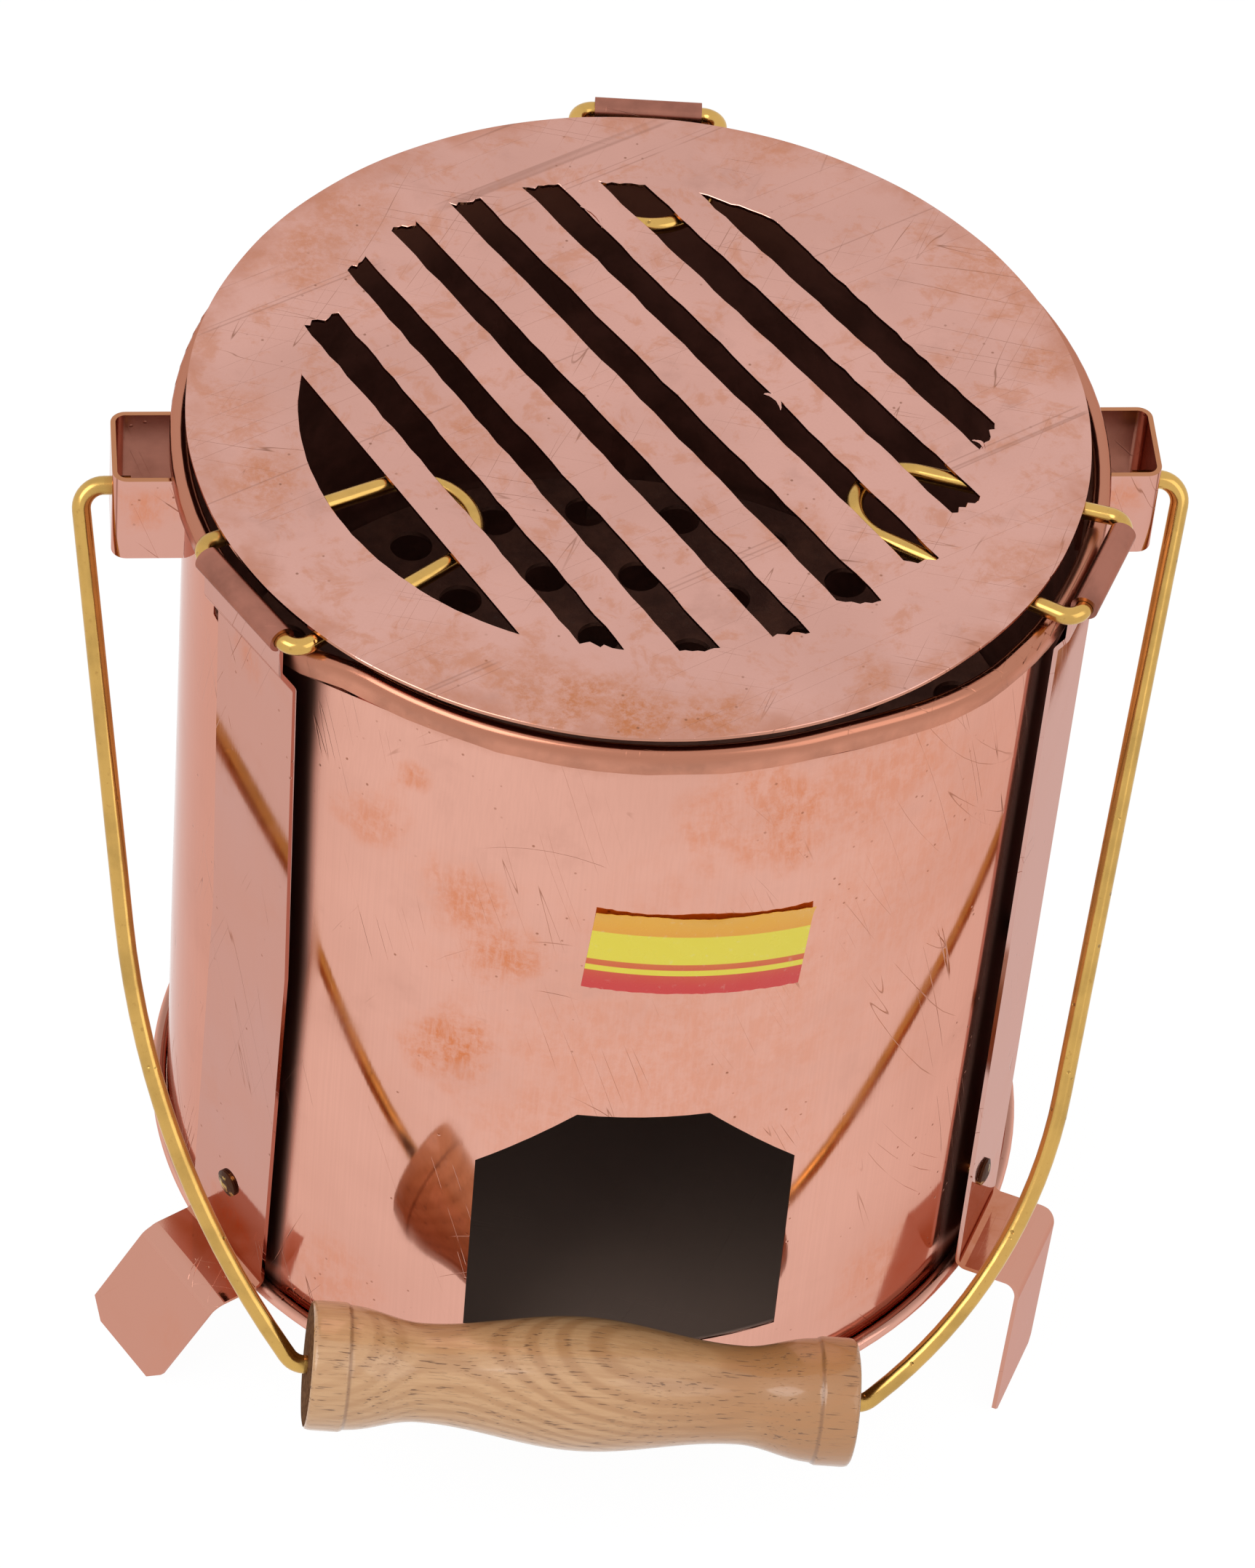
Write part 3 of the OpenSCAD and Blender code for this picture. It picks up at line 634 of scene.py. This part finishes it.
def drawn_brass(colours):
    """Bright brass wire with draw lines, dull patches and small nicks."""
    f = Finish("wire_brass")
    cloud = f.noise(110, detail=4)
    fine = f.noise(900, detail=3)
    low = [c * 0.72 for c in colours.brass]
    colour = f.mix(f.fade(cloud, 0.38, 0.72, 0, 0.7), colours.brass, low)
    colour = f.mix(f.fade(fine, 0.6, 0.8, 0, 0.4), colour, BRASS_DULL)
    nicks = f.fade(f.cells(300), 0.06, 0.15, 1.0, 0.0)
    nicks = f.times(nicks, f.fade(f.noise(60, detail=2), 0.52, 0.60))
    colour = f.mix(f.times(nicks, 0.55), colour, BRASS_NICK)
    rough = f.fade(cloud, 0.3, 0.8, 0.16, 0.30)
    relief = f.bump(f.noise(170, detail=2), 0.00025, 0.35)
    relief = f.bump(nicks, -0.00022, 0.8, relief)
    return f.surface(colour, 1.0, rough, relief)


def aged_rivets(colours):
    """Rivet heads that have gone dark brown, with brass showing where they are rubbed."""
    f = Finish("aged_rivets")
    rubbed = f.fade(f.noise(330, detail=3), 0.50, 0.58)
    colour = f.mix(rubbed, RIVET_BROWN, [c * 0.8 for c in colours.brass])
    relief = f.bump(f.noise(700, detail=3), 0.0004, 0.6)
    return f.surface(colour, 1.0, f.fade(rubbed, 0, 1, 0.5, 0.25), relief)


def end_grain():
    """Bare end grain of the grip: dark, open and dull."""
    f = Finish("grip_end_grain")
    rings = f.noise(1.0, f.moved(stretch=(300, 900, 900)), 4, 0.6)
    colour = f.mix(f.fade(rings, 0.35, 0.65), *END_GRAIN)
    return f.surface(colour, 0.0, 0.9, f.bump(rings, 0.0003, 0.6), **{"Specular IOR Level": 0.05})


def turned_oak(colours):
    """Varnished oak with nested growth bands, fibres and short open pores along the grip."""
    f = Finish("grip_oak")
    at = f.moved(place=GRIP_MID, turn=grip_turn(), kind="TEXTURE")
    sway = f.noise(19, at, 2, 0.5)
    x, y, z = f.split(at)
    y = f.plus(y, f.centred(sway, 0.014))
    bow = f.times(f.math("SINE", f.times(x, 62)), 0.0045)
    deep = f.plus(f.plus(z, 0.026), bow)
    phase = f.times(f.radius(y, deep), 2 * math.pi / 0.0022)
    band = f.math("MULTIPLY_ADD", f.math("SINE", phase), 0.5, 0.5)
    fibre = f.noise(1.0, f.moved(at, stretch=(55, 1300, 1300)), 4, 0.6)
    pores = f.noise(1.0, f.moved(at, stretch=(190, 2700, 2700)), 2, 0.5)
    pores = f.times(f.fade(pores, 0.60, 0.70), f.fade(band, 0.25, 0.8, 0.3, 1.0))
    collar = f.fade(f.size_of(x), 0.0478, 0.0486)
    warm = f.times(f.fade(x, -0.005, 0.040), f.fade(f.noise(26, at, 4), 0.36, 0.58, 0.35, 1.0))
    ground = f.mix(f.times(warm, 0.85), colours.oak, OAK_WARM)
    bands = f.times(f.fade(band, 0.2, 0.95), f.fade(x, -0.050, 0.0, 0.38, 0.66))
    bands = f.times(bands, f.fade(collar, 0, 1, 1.0, 0.6))
    colour = f.mix(bands, ground, colours.oak_band)
    colour = f.mix(f.fade(fibre, 0.35, 0.72, 0, 0.45), colour, colours.oak_band)
    colour = f.mix(f.times(pores, 0.8), colour, OAK_PORE)
    groove = f.fade(f.off(f.size_of(x), 0.0482), 0.0001, 0.0006, 0.55, 0.0)
    colour = f.mix(groove, colour, OAK_GROOVE)
    rough = f.plus(f.fade(fibre, 0.3, 0.7, 0.30, 0.42), f.times(pores, 0.25))
    relief = f.bump(fibre, 0.00012, 0.3)
    relief = f.bump(pores, -0.00025, 0.6, relief)
    return f.surface(colour, 0.0, rough, relief, **{"Coat Weight": 0.7, "Coat Roughness": 0.10})


def burnt_steel():
    """Steel plate scaled by fire, with rust in its low spots and pale ash dust."""
    f = Finish("fire_scaled_steel")
    cloud = f.noise(90, detail=6, rough=0.65)
    scale = f.noise(420, detail=5, rough=0.7)
    colour = f.mix(f.fade(cloud, 0.35, 0.7), *STEEL_SCALE)
    colour = f.mix(f.fade(scale, 0.6, 0.8, 0, 0.5), colour, STEEL_DUST)
    return f.surface(colour, 0.4, f.fade(scale, 0.3, 0.8, 0.5, 0.8), f.bump(scale, 0.0003, 0.6))


def printed_paper(colours):
    """Glossy paper, orange at its top and red at its foot, with two plain yellow stripes."""
    f = Finish("label_paper")
    v = f.split(f.put("ShaderNodeTexCoord").outputs["UV"])[1]
    wave = f.centred(f.noise(60), 0.12)
    ground = f.mix(f.fade(f.plus(v, wave), 0.05, 0.95), colours.label_low, colours.label_high)
    wide = f.fade(f.off(v, 0.56), 0.175, 0.185, 1.0, 0.0)
    thin = f.fade(f.off(v, 0.27), 0.030, 0.040, 1.0, 0.0)
    colour = f.mix(f.larger(wide, thin), ground, STRIPE_YELLOW)
    specks = f.fade(f.noise(700, detail=3), 0.62, 0.75, 0, 0.15)
    colour = f.mix(specks, colour, PAPER_SPECK)
    rough = f.fade(f.noise(200), 0.3, 0.7, 0.22, 0.34)
    return f.surface(colour, 0.0, rough, f.bump(f.noise(90), 0.0003, 0.35))


# ---------------------------------------------------------------- sizes and colours


def colour_setting(name, words, value):
    return FloatVectorProperty(name=name, description=words, default=value, subtype="COLOR", size=3,
                               min=0, max=1)


def length_setting(name, words, value):
    return FloatProperty(name=name, description=words, default=value, unit="LENGTH", precision=5)


class BrazierSizes(bpy.types.PropertyGroup):
    """Sizes of the pieces that are modelled here"""

    plate_r: length_setting("Plate radius", "Radius of the slotted plate", 0.08925)
    plate_t: length_setting("Plate thickness", "Thickness of the slotted plate", 0.0009)
    rim_sway: length_setting("Plate sway", "How far the plate's hand-cut edge strays", 0.00022)
    slot_sway: length_setting("Slot sway", "How far a slot's long sides stray", 0.00020)
    tooth: length_setting("Chisel teeth", "Depth of the jagged ends of the slots", 0.00075)
    edge: length_setting("Worn edge", "Width of the rounding on cut sheet edges", 0.00016)
    hem_sway: length_setting("Hem sway", "How far the hem's lower edge strays", 0.00035)
    collar: length_setting("Grip collar", "Length of the plain collar at each end of the grip", 0.0078)
    grip_len: length_setting("Grip length", "Length of the wooden grip", 0.112)
    grip_end_r: length_setting("Grip end radius", "Radius of the grip's collars", 0.0132)
    grip_neck_r: length_setting("Grip neck radius", "Radius of the grip's necks", 0.0101)
    grip_belly_r: length_setting("Grip belly radius", "Radius of the grip's middle", 0.0137)
    label_curl: length_setting("Label curl", "How far the label's loose edge stands off", 0.0007)


class BrazierColours(bpy.types.PropertyGroup):
    """Colours of the finishes"""

    drum: colour_setting("Drum copper", "Polished copper of the drum", (0.745, 0.390, 0.303))
    drum_dull: colour_setting("Dull drum copper", "Clouded copper of the drum", (0.60, 0.300, 0.228))
    stain: colour_setting("Heat stain", "Orange-brown heat stain", (0.66, 0.205, 0.080))
    hem: colour_setting("Hem", "Brown copper of the hem", (0.52, 0.225, 0.150))
    rim: colour_setting("Rim", "Orange-brown copper of the rolled rim", (0.46, 0.188, 0.120))
    ash: colour_setting("Ash", "Dusty inside of the drum near its floor", (0.34, 0.25, 0.205))
    plate: colour_setting("Plate copper", "Greyer copper of the slotted plate", (0.665, 0.365, 0.305))
    plate_dull: colour_setting("Dull plate copper", "Clouded copper of the plate", (0.50, 0.265, 0.215))
    plate_stain: colour_setting("Plate tarnish", "Brown tarnish on the slotted plate", (0.52, 0.190, 0.085))
    strap: colour_setting("Strap copper", "Pale copper of the strap legs", (0.59, 0.345, 0.300))
    foot: colour_setting("Foot copper", "Warmer copper of the tabs and feet", (0.58, 0.275, 0.200))
    knuckle: colour_setting("Knuckle copper", "Brown copper of the rolled knuckles", (0.31, 0.125, 0.090))
    bracket: colour_setting("Bracket copper", "Copper of the bail's brackets", (0.66, 0.345, 0.28))
    soot: colour_setting("Soot", "Burnt inside of the drum", (0.140, 0.055, 0.040))
    brass: colour_setting("Brass", "Drawn brass wire", (0.62, 0.375, 0.105))
    oak: colour_setting("Oak", "Pale wood of the grip", (0.66, 0.380, 0.185))
    oak_band: colour_setting("Oak band", "Darker growth bands of the grip", (0.46, 0.220, 0.085))
    label_high: colour_setting("Label top", "Colour at the label's top", (0.86, 0.42, 0.03))
    label_low: colour_setting("Label foot", "Colour at the label's foot", (0.66, 0.035, 0.030))


def sizes():
    return bpy.context.scene.brazier_sizes


def colours():
    return bpy.context.scene.brazier_colours


def grip_turn():
    """Turns that lay the grip's own X axis along its axis in the drum's frame."""
    return tuple(Vector(GRIP_AXIS).to_track_quat("X", "Z").to_euler())


# ---------------------------------------------------------------- pieces


class BRAZIER_OT_stage(bpy.types.Operator):
    """Pale floor, soft studio light and the camera"""

    bl_idname = "brazier.stage"
    bl_label = "Stage"

    def execute(self, context):
        scene = context.scene
        scene.view_settings.view_transform = "Standard"

        world = bpy.data.worlds.new("studio")
        scene.world = world
        world.use_nodes = True
        tree = world.node_tree
        tree.nodes.clear()
        rays = tree.nodes.new("ShaderNodeLightPath")
        seen = self.seen_directly(tree, rays)
        strength = tree.nodes.new("ShaderNodeMapRange")
        strength.inputs["To Min"].default_value = 0.62
        strength.inputs["To Max"].default_value = 1.0
        tree.links.new(seen, strength.inputs["Value"])
        sky = tree.nodes.new("ShaderNodeBackground")
        sky.inputs["Color"].default_value = (1, 1, 1, 1)
        tree.links.new(strength.outputs[0], sky.inputs["Strength"])
        out = tree.nodes.new("ShaderNodeOutputWorld")
        tree.links.new(sky.outputs[0], out.inputs["Surface"])

        bpy.ops.object.select_all(action="DESELECT")
        bpy.ops.mesh.primitive_plane_add(size=8)
        floor = context.object
        floor.name = "floor"
        material = bpy.data.materials.new("pale_floor")
        material.use_nodes = True
        tree = material.node_tree
        tree.nodes.clear()
        rays = tree.nodes.new("ShaderNodeLightPath")
        share = tree.nodes.new("ShaderNodeMath")
        share.operation = "MULTIPLY"
        share.inputs[1].default_value = 0.93
        tree.links.new(self.seen_directly(tree, rays), share.inputs[0])
        matt = tree.nodes.new("ShaderNodeBsdfDiffuse")
        matt.inputs["Color"].default_value = (0.86, 0.86, 0.86, 1)
        white = tree.nodes.new("ShaderNodeEmission")
        white.inputs["Strength"].default_value = 1.04
        both = tree.nodes.new("ShaderNodeMixShader")
        tree.links.new(share.outputs[0], both.inputs[0])
        tree.links.new(matt.outputs[0], both.inputs[1])
        tree.links.new(white.outputs[0], both.inputs[2])
        out = tree.nodes.new("ShaderNodeOutputMaterial")
        tree.links.new(both.outputs[0], out.inputs["Surface"])
        paint(floor, material)

        for name, place, size, power in LAMPS:
            bpy.ops.object.light_add(type="AREA", location=place)
            lamp = context.object
            lamp.name = name
            lamp.data.size = size
            lamp.data.energy = power
            lamp.rotation_euler = (Vector(place) - Vector((0, 0, 0.12))).to_track_quat("Z", "Y").to_euler()

        bpy.ops.object.camera_add(location=CAMERA_PLACE, rotation=CAMERA_TURN)
        camera = context.object
        camera.name = "camera"
        camera.data.sensor_fit = "VERTICAL"
        camera.data.sensor_height = CAMERA_SENSOR
        camera.data.lens = CAMERA_LENS
        camera.data.clip_start = 0.05
        scene.camera = camera
        return {"FINISHED"}

    @staticmethod
    def seen_directly(tree, rays):
        """1 for camera, glossy and transmission rays, which see the plain white background."""
        total = rays.outputs["Is Camera Ray"]
        for name in ("Is Glossy Ray", "Is Transmission Ray"):
            either = tree.nodes.new("ShaderNodeMath")
            either.operation = "MAXIMUM"
            tree.links.new(total, either.inputs[0])
            tree.links.new(rays.outputs[name], either.inputs[1])
            total = either.outputs[0]
        return total


class BRAZIER_OT_drum(bpy.types.Operator):
    """Drum wall with its rolled rim and ragged hem, the base pan and the wire in the rim"""

    bl_idname = "brazier.drum"
    bl_label = "Drum"

    def execute(self, context):
        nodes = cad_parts
        copper = drum_copper(colours())
        wall = softened_copy(nodes["shell_wall"], sizes().edge, flat=0.05)
        ringed(wall, [SET_HEIGHTS[0] - 0.002 + 0.004 * k for k in range(8)])
        for point in wall.data.vertices:
            x, y, z = point.co
            if HEM_LOW - 0.0002 < z < HEM_LOW + 0.0006 and math.hypot(x, y) > 0.0915:
                point.co.z += swayed(math.atan2(y, x) * 3, 5, sizes().hem_sway) + sizes().hem_sway * 0.6
            hand_set(point)
        paint(settle(wall, "drum_wall", "shell_wall", "drum"), copper)
        paint(nodes["base_pan"], copper)
        wire = softened_copy(nodes["rim_wire"], sizes().edge)
        for point in wire.data.vertices:
            hand_set(point)
        paint(settle(wire, "hidden_rim_wire", "rim_wire", "drum"), burnt_steel())
        return {"FINISHED"}


class BRAZIER_OT_plate(bpy.types.Operator):
    """Loose plate with hand-cut slots, jagged at their ends, and three lifted burrs"""

    bl_idname = "brazier.plate"
    bl_label = "Slotted plate"

    def execute(self, context):
        size = sizes()
        nothing_selected()
        bpy.ops.mesh.primitive_circle_add(vertices=288, radius=size.plate_r, fill_type="NGON",
                                          location=(*PLATE_MID, PLATE_LOW))
        plate = context.object
        for point in plate.data.vertices:
            angle = math.atan2(point.co.y, point.co.x)
            point.co *= 1 - abs(swayed(angle, 11, size.rim_sway)) / size.plate_r
        self.raised(plate, size.plate_t)
        cutters = [self.slot_cutter(k, corners) for k, corners in enumerate(SLOTS)] + [self.moon_cutter()]
        only(cutters[0])
        for cutter in cutters:
            cutter.select_set(True)
        bpy.ops.object.join()
        cutter = context.object
        apply_modifier(plate, "BOOLEAN", operation="DIFFERENCE", solver="EXACT", object=cutter)
        bpy.data.objects.remove(cutter)
        apply_modifier(plate, "BEVEL", width=size.edge * 0.7, segments=1, limit_method="ANGLE",
                       angle_limit=math.radians(60), use_clamp_overlap=True)
        burrs = [self.burr(*spot) for spot in BURRS]
        only(plate)
        for burr in burrs:
            burr.select_set(True)
        bpy.ops.object.join()
        paint(settle(plate, "slotted_plate", "top_grate", "top_grate", 30), plate_copper(colours()))
        return {"FINISHED"}

    @staticmethod
    def raised(obj, height):
        """Gives a flat outline its thickness."""
        lift = {"TRANSFORM_OT_translate": {"value": (0, 0, height)}}
        shaped(obj, (bpy.ops.mesh.extrude_region_move, lift), FACE_OUT)

    def through(self, cutter):
        """Makes a flat outline a cutter that reaches through the plate."""
        for point in cutter.data.vertices:
            point.co.x += PLATE_MID[0]
            point.co.y += PLATE_MID[1]
            point.co.z = PLATE_LOW - 0.002
        self.raised(cutter, 0.005)
        return cutter

    def slot_cutter(self, k, corners):
        """A slot's outline: long sides that stray a little and chiselled ends."""
        size = sizes()
        dice = random.Random(40 + k)
        nothing_selected()
        across, along = 7, 30
        bpy.ops.mesh.primitive_grid_add(x_subdivisions=across, y_subdivisions=along, size=1)
        cutter = bpy.context.object
        back_left, back_right, front_right, front_left = [Vector(c) * MM for c in corners]
        teeth = [[dice.uniform(-1, 1) * size.tooth for _ in range(across + 1)] for _ in range(2)]
        sides = [[dice.uniform(-1, 1) * size.slot_sway for _ in range(along + 1)] for _ in range(2)]
        run = (front_left - back_left).normalized()
        out = Vector((-run.y, run.x))
        for point in cutter.data.vertices:
            u, w = point.co.x + 0.5, 0.5 - point.co.y
            place = (back_left.lerp(back_right, u)).lerp(front_left.lerp(front_right, u), w)
            i, j = round(u * across), round(w * along)
            if j in (0, along):
                place += run * teeth[j > 0][i]
            if i in (0, across):
                place += out * sides[i > 0][j]
            point.co.x, point.co.y = place
        return self.through(cutter)

    def moon_cutter(self):
        """The half-moon opening beside the first bar."""
        size = sizes()
        nothing_selected()
        bpy.ops.mesh.primitive_circle_add(vertices=150, radius=MOON_R, fill_type="NGON")
        cutter = bpy.context.object
        dice = random.Random(7)
        for point in cutter.data.vertices:
            point.co *= 1 + dice.uniform(-0.5, 0.5) * size.slot_sway / MOON_R
        a, b = [Vector((*p, 0)) * MM for p in MOON_CUT]
        run = (b - a).normalized()
        away = Vector((run.y, -run.x, 0))
        shaped(cutter, (bpy.ops.mesh.bisect, {"plane_co": a, "plane_no": away}))
        bpy.ops.object.mode_set(mode="EDIT")
        pick(cutter, lambda p: (p.co - a).dot(away) < -1e-6)
        bpy.ops.mesh.delete(type="VERT")
        bpy.ops.object.mode_set(mode="OBJECT")
        return self.through(cutter)

    def burr(self, place, length, width, seed):
        """A thin sliver of sheet that the chisel left standing at a slot's side."""
        dice = random.Random(seed)
        nothing_selected()
        steps = 14
        bpy.ops.mesh.primitive_grid_add(x_subdivisions=steps, y_subdivisions=3, size=1)
        sliver = bpy.context.object
        run = Vector((math.cos(BURR_TURN), math.sin(BURR_TURN), 0))
        out = Vector((-run.y, run.x, 0))
        for point in sliver.data.vertices:
            u, w = point.co.x + 0.5, point.co.y + 0.5
            taper = math.sin(math.pi * min(1.0, u * 0.9 + 0.1)) ** 0.6
            lift = 0.0011 * math.sin(math.pi * u) * (0.4 + 0.6 * w)
            spot = run * (u - 0.5) * length + out * (w * width * taper + 0.0007 * math.sin(math.pi * u))
            spot += Vector((0, 0, PLATE_LOW + sizes().plate_t * 0.8 + lift * 0.5))
            stray = Vector((dice.uniform(-1, 1), dice.uniform(-1, 1), 0)) * 0.00006
            point.co = spot + Vector((*place, 0)) + stray
        apply_modifier(sliver, "SOLIDIFY", thickness=0.0003, offset=0)
        return sliver


class BRAZIER_OT_legs(bpy.types.Operator):
    """Three strap legs with rolled knuckles and their cut edges rounded"""

    bl_idname = "brazier.legs"
    bl_label = "Strap legs"

    def execute(self, context):
        copper = strap_copper(colours())
        for name in ("leg_front_left", "leg_front_right", "leg_back"):
            leg = softened_copy(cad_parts[name], sizes().edge)
            if name == "leg_front_left":
                self.jogged(leg, STRAPS[0][0], STRAPS[0][3])
            settle(leg, name.replace("leg", "strap_leg"), name, "drum")
            paint(flattened(leg), copper)
        return {"FINISHED"}

    @staticmethod
    def jogged(leg, turn, jog):
        """Moves the strap sideways below the hem, less and less towards its tab."""
        low, bend, high, top = JOG_HEIGHTS
        ringed(leg, JOG_RINGS)
        for point in leg.data.vertices:
            z = point.co.z
            share = min(1.0, max(0.0, (z - low) / (bend - low)))
            share *= min(1.0, max(0.0, (top - z) / (top - high)))
            point.co.x -= math.sin(turn) * jog * share
            point.co.y += math.cos(turn) * jog * share


class BRAZIER_OT_brackets(bpy.types.Operator):
    """Two U brackets that hold the bail, with their cut edges rounded"""

    bl_idname = "brazier.brackets"
    bl_label = "Bail brackets"

    def execute(self, context):
        copper = bracket_copper(colours())
        for name in ("bail_bracket_left", "bail_bracket_right"):
            bracket = softened_copy(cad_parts[name], sizes().edge)
            paint(flattened(settle(bracket, name.replace("bail_", ""), name, "drum")), copper)
        return {"FINISHED"}


class BRAZIER_OT_wires(bpy.types.Operator):
    """Brass bail, pot rests and rivets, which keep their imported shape"""

    bl_idname = "brazier.wires"
    bl_label = "Wires and rivets"

    def execute(self, context):
        brass = drawn_brass(colours())
        rivets = aged_rivets(colours())
        for name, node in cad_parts.items():
            if name == "bail_wire" or name.startswith("pot_rest"):
                paint(node, brass)
            elif name in ("leg_rivets", "lug_rivets"):
                paint(node, rivets)
        return {"FINISHED"}


class BRAZIER_OT_grip(bpy.types.Operator):
    """Turned wooden grip with two collars, two necks and a full middle"""

    bl_idname = "brazier.grip"
    bl_label = "Turned grip"

    def execute(self, context):
        stations = self.stations()
        nothing_selected()
        z, r = stations[0]
        bpy.ops.mesh.primitive_circle_add(vertices=96, radius=r, fill_type="NOTHING", location=(0, 0, 0))
        grip = context.object
        bpy.ops.object.mode_set(mode="EDIT")
        bpy.ops.mesh.select_all(action="SELECT")
        bpy.ops.transform.translate(value=(0, 0, z))
        for next_z, next_r in stations[1:]:
            bpy.ops.mesh.extrude_region_move(TRANSFORM_OT_translate={"value": (0, 0, next_z - z)})
            bpy.ops.transform.resize(value=(next_r / r, next_r / r, 1), center_override=(0, 0, next_z))
            z, r = next_z, next_r
        bpy.ops.mesh.select_all(action="DESELECT")
        bpy.ops.mesh.select_mode(type="EDGE")
        bpy.ops.mesh.select_non_manifold()
        bpy.ops.mesh.bridge_edge_loops()
        bpy.ops.mesh.select_all(action="SELECT")
        bpy.ops.mesh.normals_make_consistent(inside=False)
        bpy.ops.object.mode_set(mode="OBJECT")
        grip.rotation_euler = Vector(GRIP_AXIS).to_track_quat("Z", "Y").to_euler()
        grip.location = GRIP_MID
        paint(settle(grip, "turned_grip", "bail_grip", "grip", 40), turned_oak(colours()))
        grip.data.materials.append(end_grain())
        for face in grip.data.polygons:
            if abs(face.normal.dot(Vector(GRIP_AXIS))) > 0.95:
                face.material_index = 1
        return {"FINISHED"}

    @staticmethod
    def stations():
        """Places and radii along the grip, from one end face to the other."""
        size = sizes()
        half, end, neck, belly = size.grip_len / 2, size.grip_end_r, size.grip_neck_r, size.grip_belly_r
        neck_at = 0.023
        side = [(0.0, 0.00198), (0.0, end - 0.0011), (0.00012, end - 0.0006), (0.00045, end - 0.0002),
                (0.0010, end - 0.00005), (0.0016, end), (size.collar - 0.0008, end),
                (size.collar - 0.0002, end - 0.0002), (size.collar + 0.0001, end - 0.00045)]
        for k in range(1, 15):
            x = size.collar + (neck_at - size.collar) * k / 14
            side.append((x, end - 0.0005 + (neck - end + 0.0005) * (1 - math.cos(math.pi * k / 14)) / 2))
        for k in range(1, 17):
            x = neck_at + (half - neck_at) * k / 16
            side.append((x, neck + (belly - neck) * (1 - math.cos(math.pi * k / 16)) / 2))
        near = [(x - half, r) for x, r in side]
        return near + [(-x, r) for x, r in reversed(near[:-1])]


class BRAZIER_OT_fire_grate(bpy.types.Operator):
    """Perforated fire grate and its lugs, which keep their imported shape"""

    bl_idname = "brazier.fire_grate"
    bl_label = "Fire grate and lugs"

    def execute(self, context):
        steel = burnt_steel()
        for name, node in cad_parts.items():
            if name == "fire_grate" or name.startswith("grate_lug"):
                paint(node, steel)
        return {"FINISHED"}


class BRAZIER_OT_label(bpy.types.Operator):
    """Plain printed label that follows the drum, with a loose upper edge"""

    bl_idname = "brazier.label"
    bl_label = "Paper label"

    def execute(self, context):
        size = sizes()
        nothing_selected()
        steps = 44
        bpy.ops.mesh.primitive_grid_add(x_subdivisions=steps, y_subdivisions=steps // 2, size=1)
        label = context.object
        dice = random.Random(9)
        ragged = [dice.uniform(-1, 1) for _ in range(steps + 1)]
        for point in label.data.vertices:
            across, up = point.co.x * LABEL_SIZE[0], point.co.y * LABEL_SIZE[1]
            i = round((point.co.x + 0.5) * steps)
            if abs(point.co.y) > 0.499:
                up += ragged[i] * 0.00012
            side = across * math.cos(LABEL_TILT) - up * math.sin(LABEL_TILT)
            high = across * math.sin(LABEL_TILT) + up * math.cos(LABEL_TILT)
            loose = max(0.0, (point.co.y - 0.30) / 0.20) ** 2
            loose = size.label_curl * loose * (0.35 + 0.65 * math.cos(across * 130) ** 2)
            r = WALL_R + 0.00012 + loose
            angle = LABEL_TURN + side / WALL_R
            point.co = (r * math.cos(angle), r * math.sin(angle), LABEL_Z + high)
        apply_modifier(label, "SOLIDIFY", thickness=0.00008, offset=0)
        shaped(label, FACE_OUT)
        paint(settle(label, "plain_label", "paper_label", "drum"), printed_paper(colours()))
        return {"FINISHED"}


class BRAZIER_PT_pieces(bpy.types.Panel):
    """Lists the brazier's pieces"""

    bl_idname = "BRAZIER_PT_pieces"
    bl_label = "Charcoal brazier"
    bl_space_type = "VIEW_3D"
    bl_region_type = "UI"
    bl_category = "Brazier"

    def draw(self, context):
        for operator in OPERATORS:
            self.layout.operator(operator.bl_idname)
        for group in (context.scene.brazier_sizes, context.scene.brazier_colours):
            column = self.layout.column()
            for name in type(group).__annotations__:
                column.prop(group, name)


OPERATORS = (BRAZIER_OT_stage, BRAZIER_OT_drum, BRAZIER_OT_plate, BRAZIER_OT_legs, BRAZIER_OT_brackets,
             BRAZIER_OT_wires, BRAZIER_OT_grip, BRAZIER_OT_fire_grate, BRAZIER_OT_label)
CLASSES = (BrazierSizes, BrazierColours, *OPERATORS, BRAZIER_PT_pieces)


def register():
    for cls in CLASSES:
        bpy.utils.register_class(cls)
    bpy.types.Scene.brazier_sizes = PointerProperty(type=BrazierSizes)
    bpy.types.Scene.brazier_colours = PointerProperty(type=BrazierColours)


def unregister():
    del bpy.types.Scene.brazier_colours
    del bpy.types.Scene.brazier_sizes
    for cls in reversed(CLASSES):
        bpy.utils.unregister_class(cls)


def main():
    register()
    for operator in OPERATORS:
        group, name = operator.bl_idname.split(".")
        getattr(getattr(bpy.ops, group), name)()


if __name__ == "__main__":
    main()
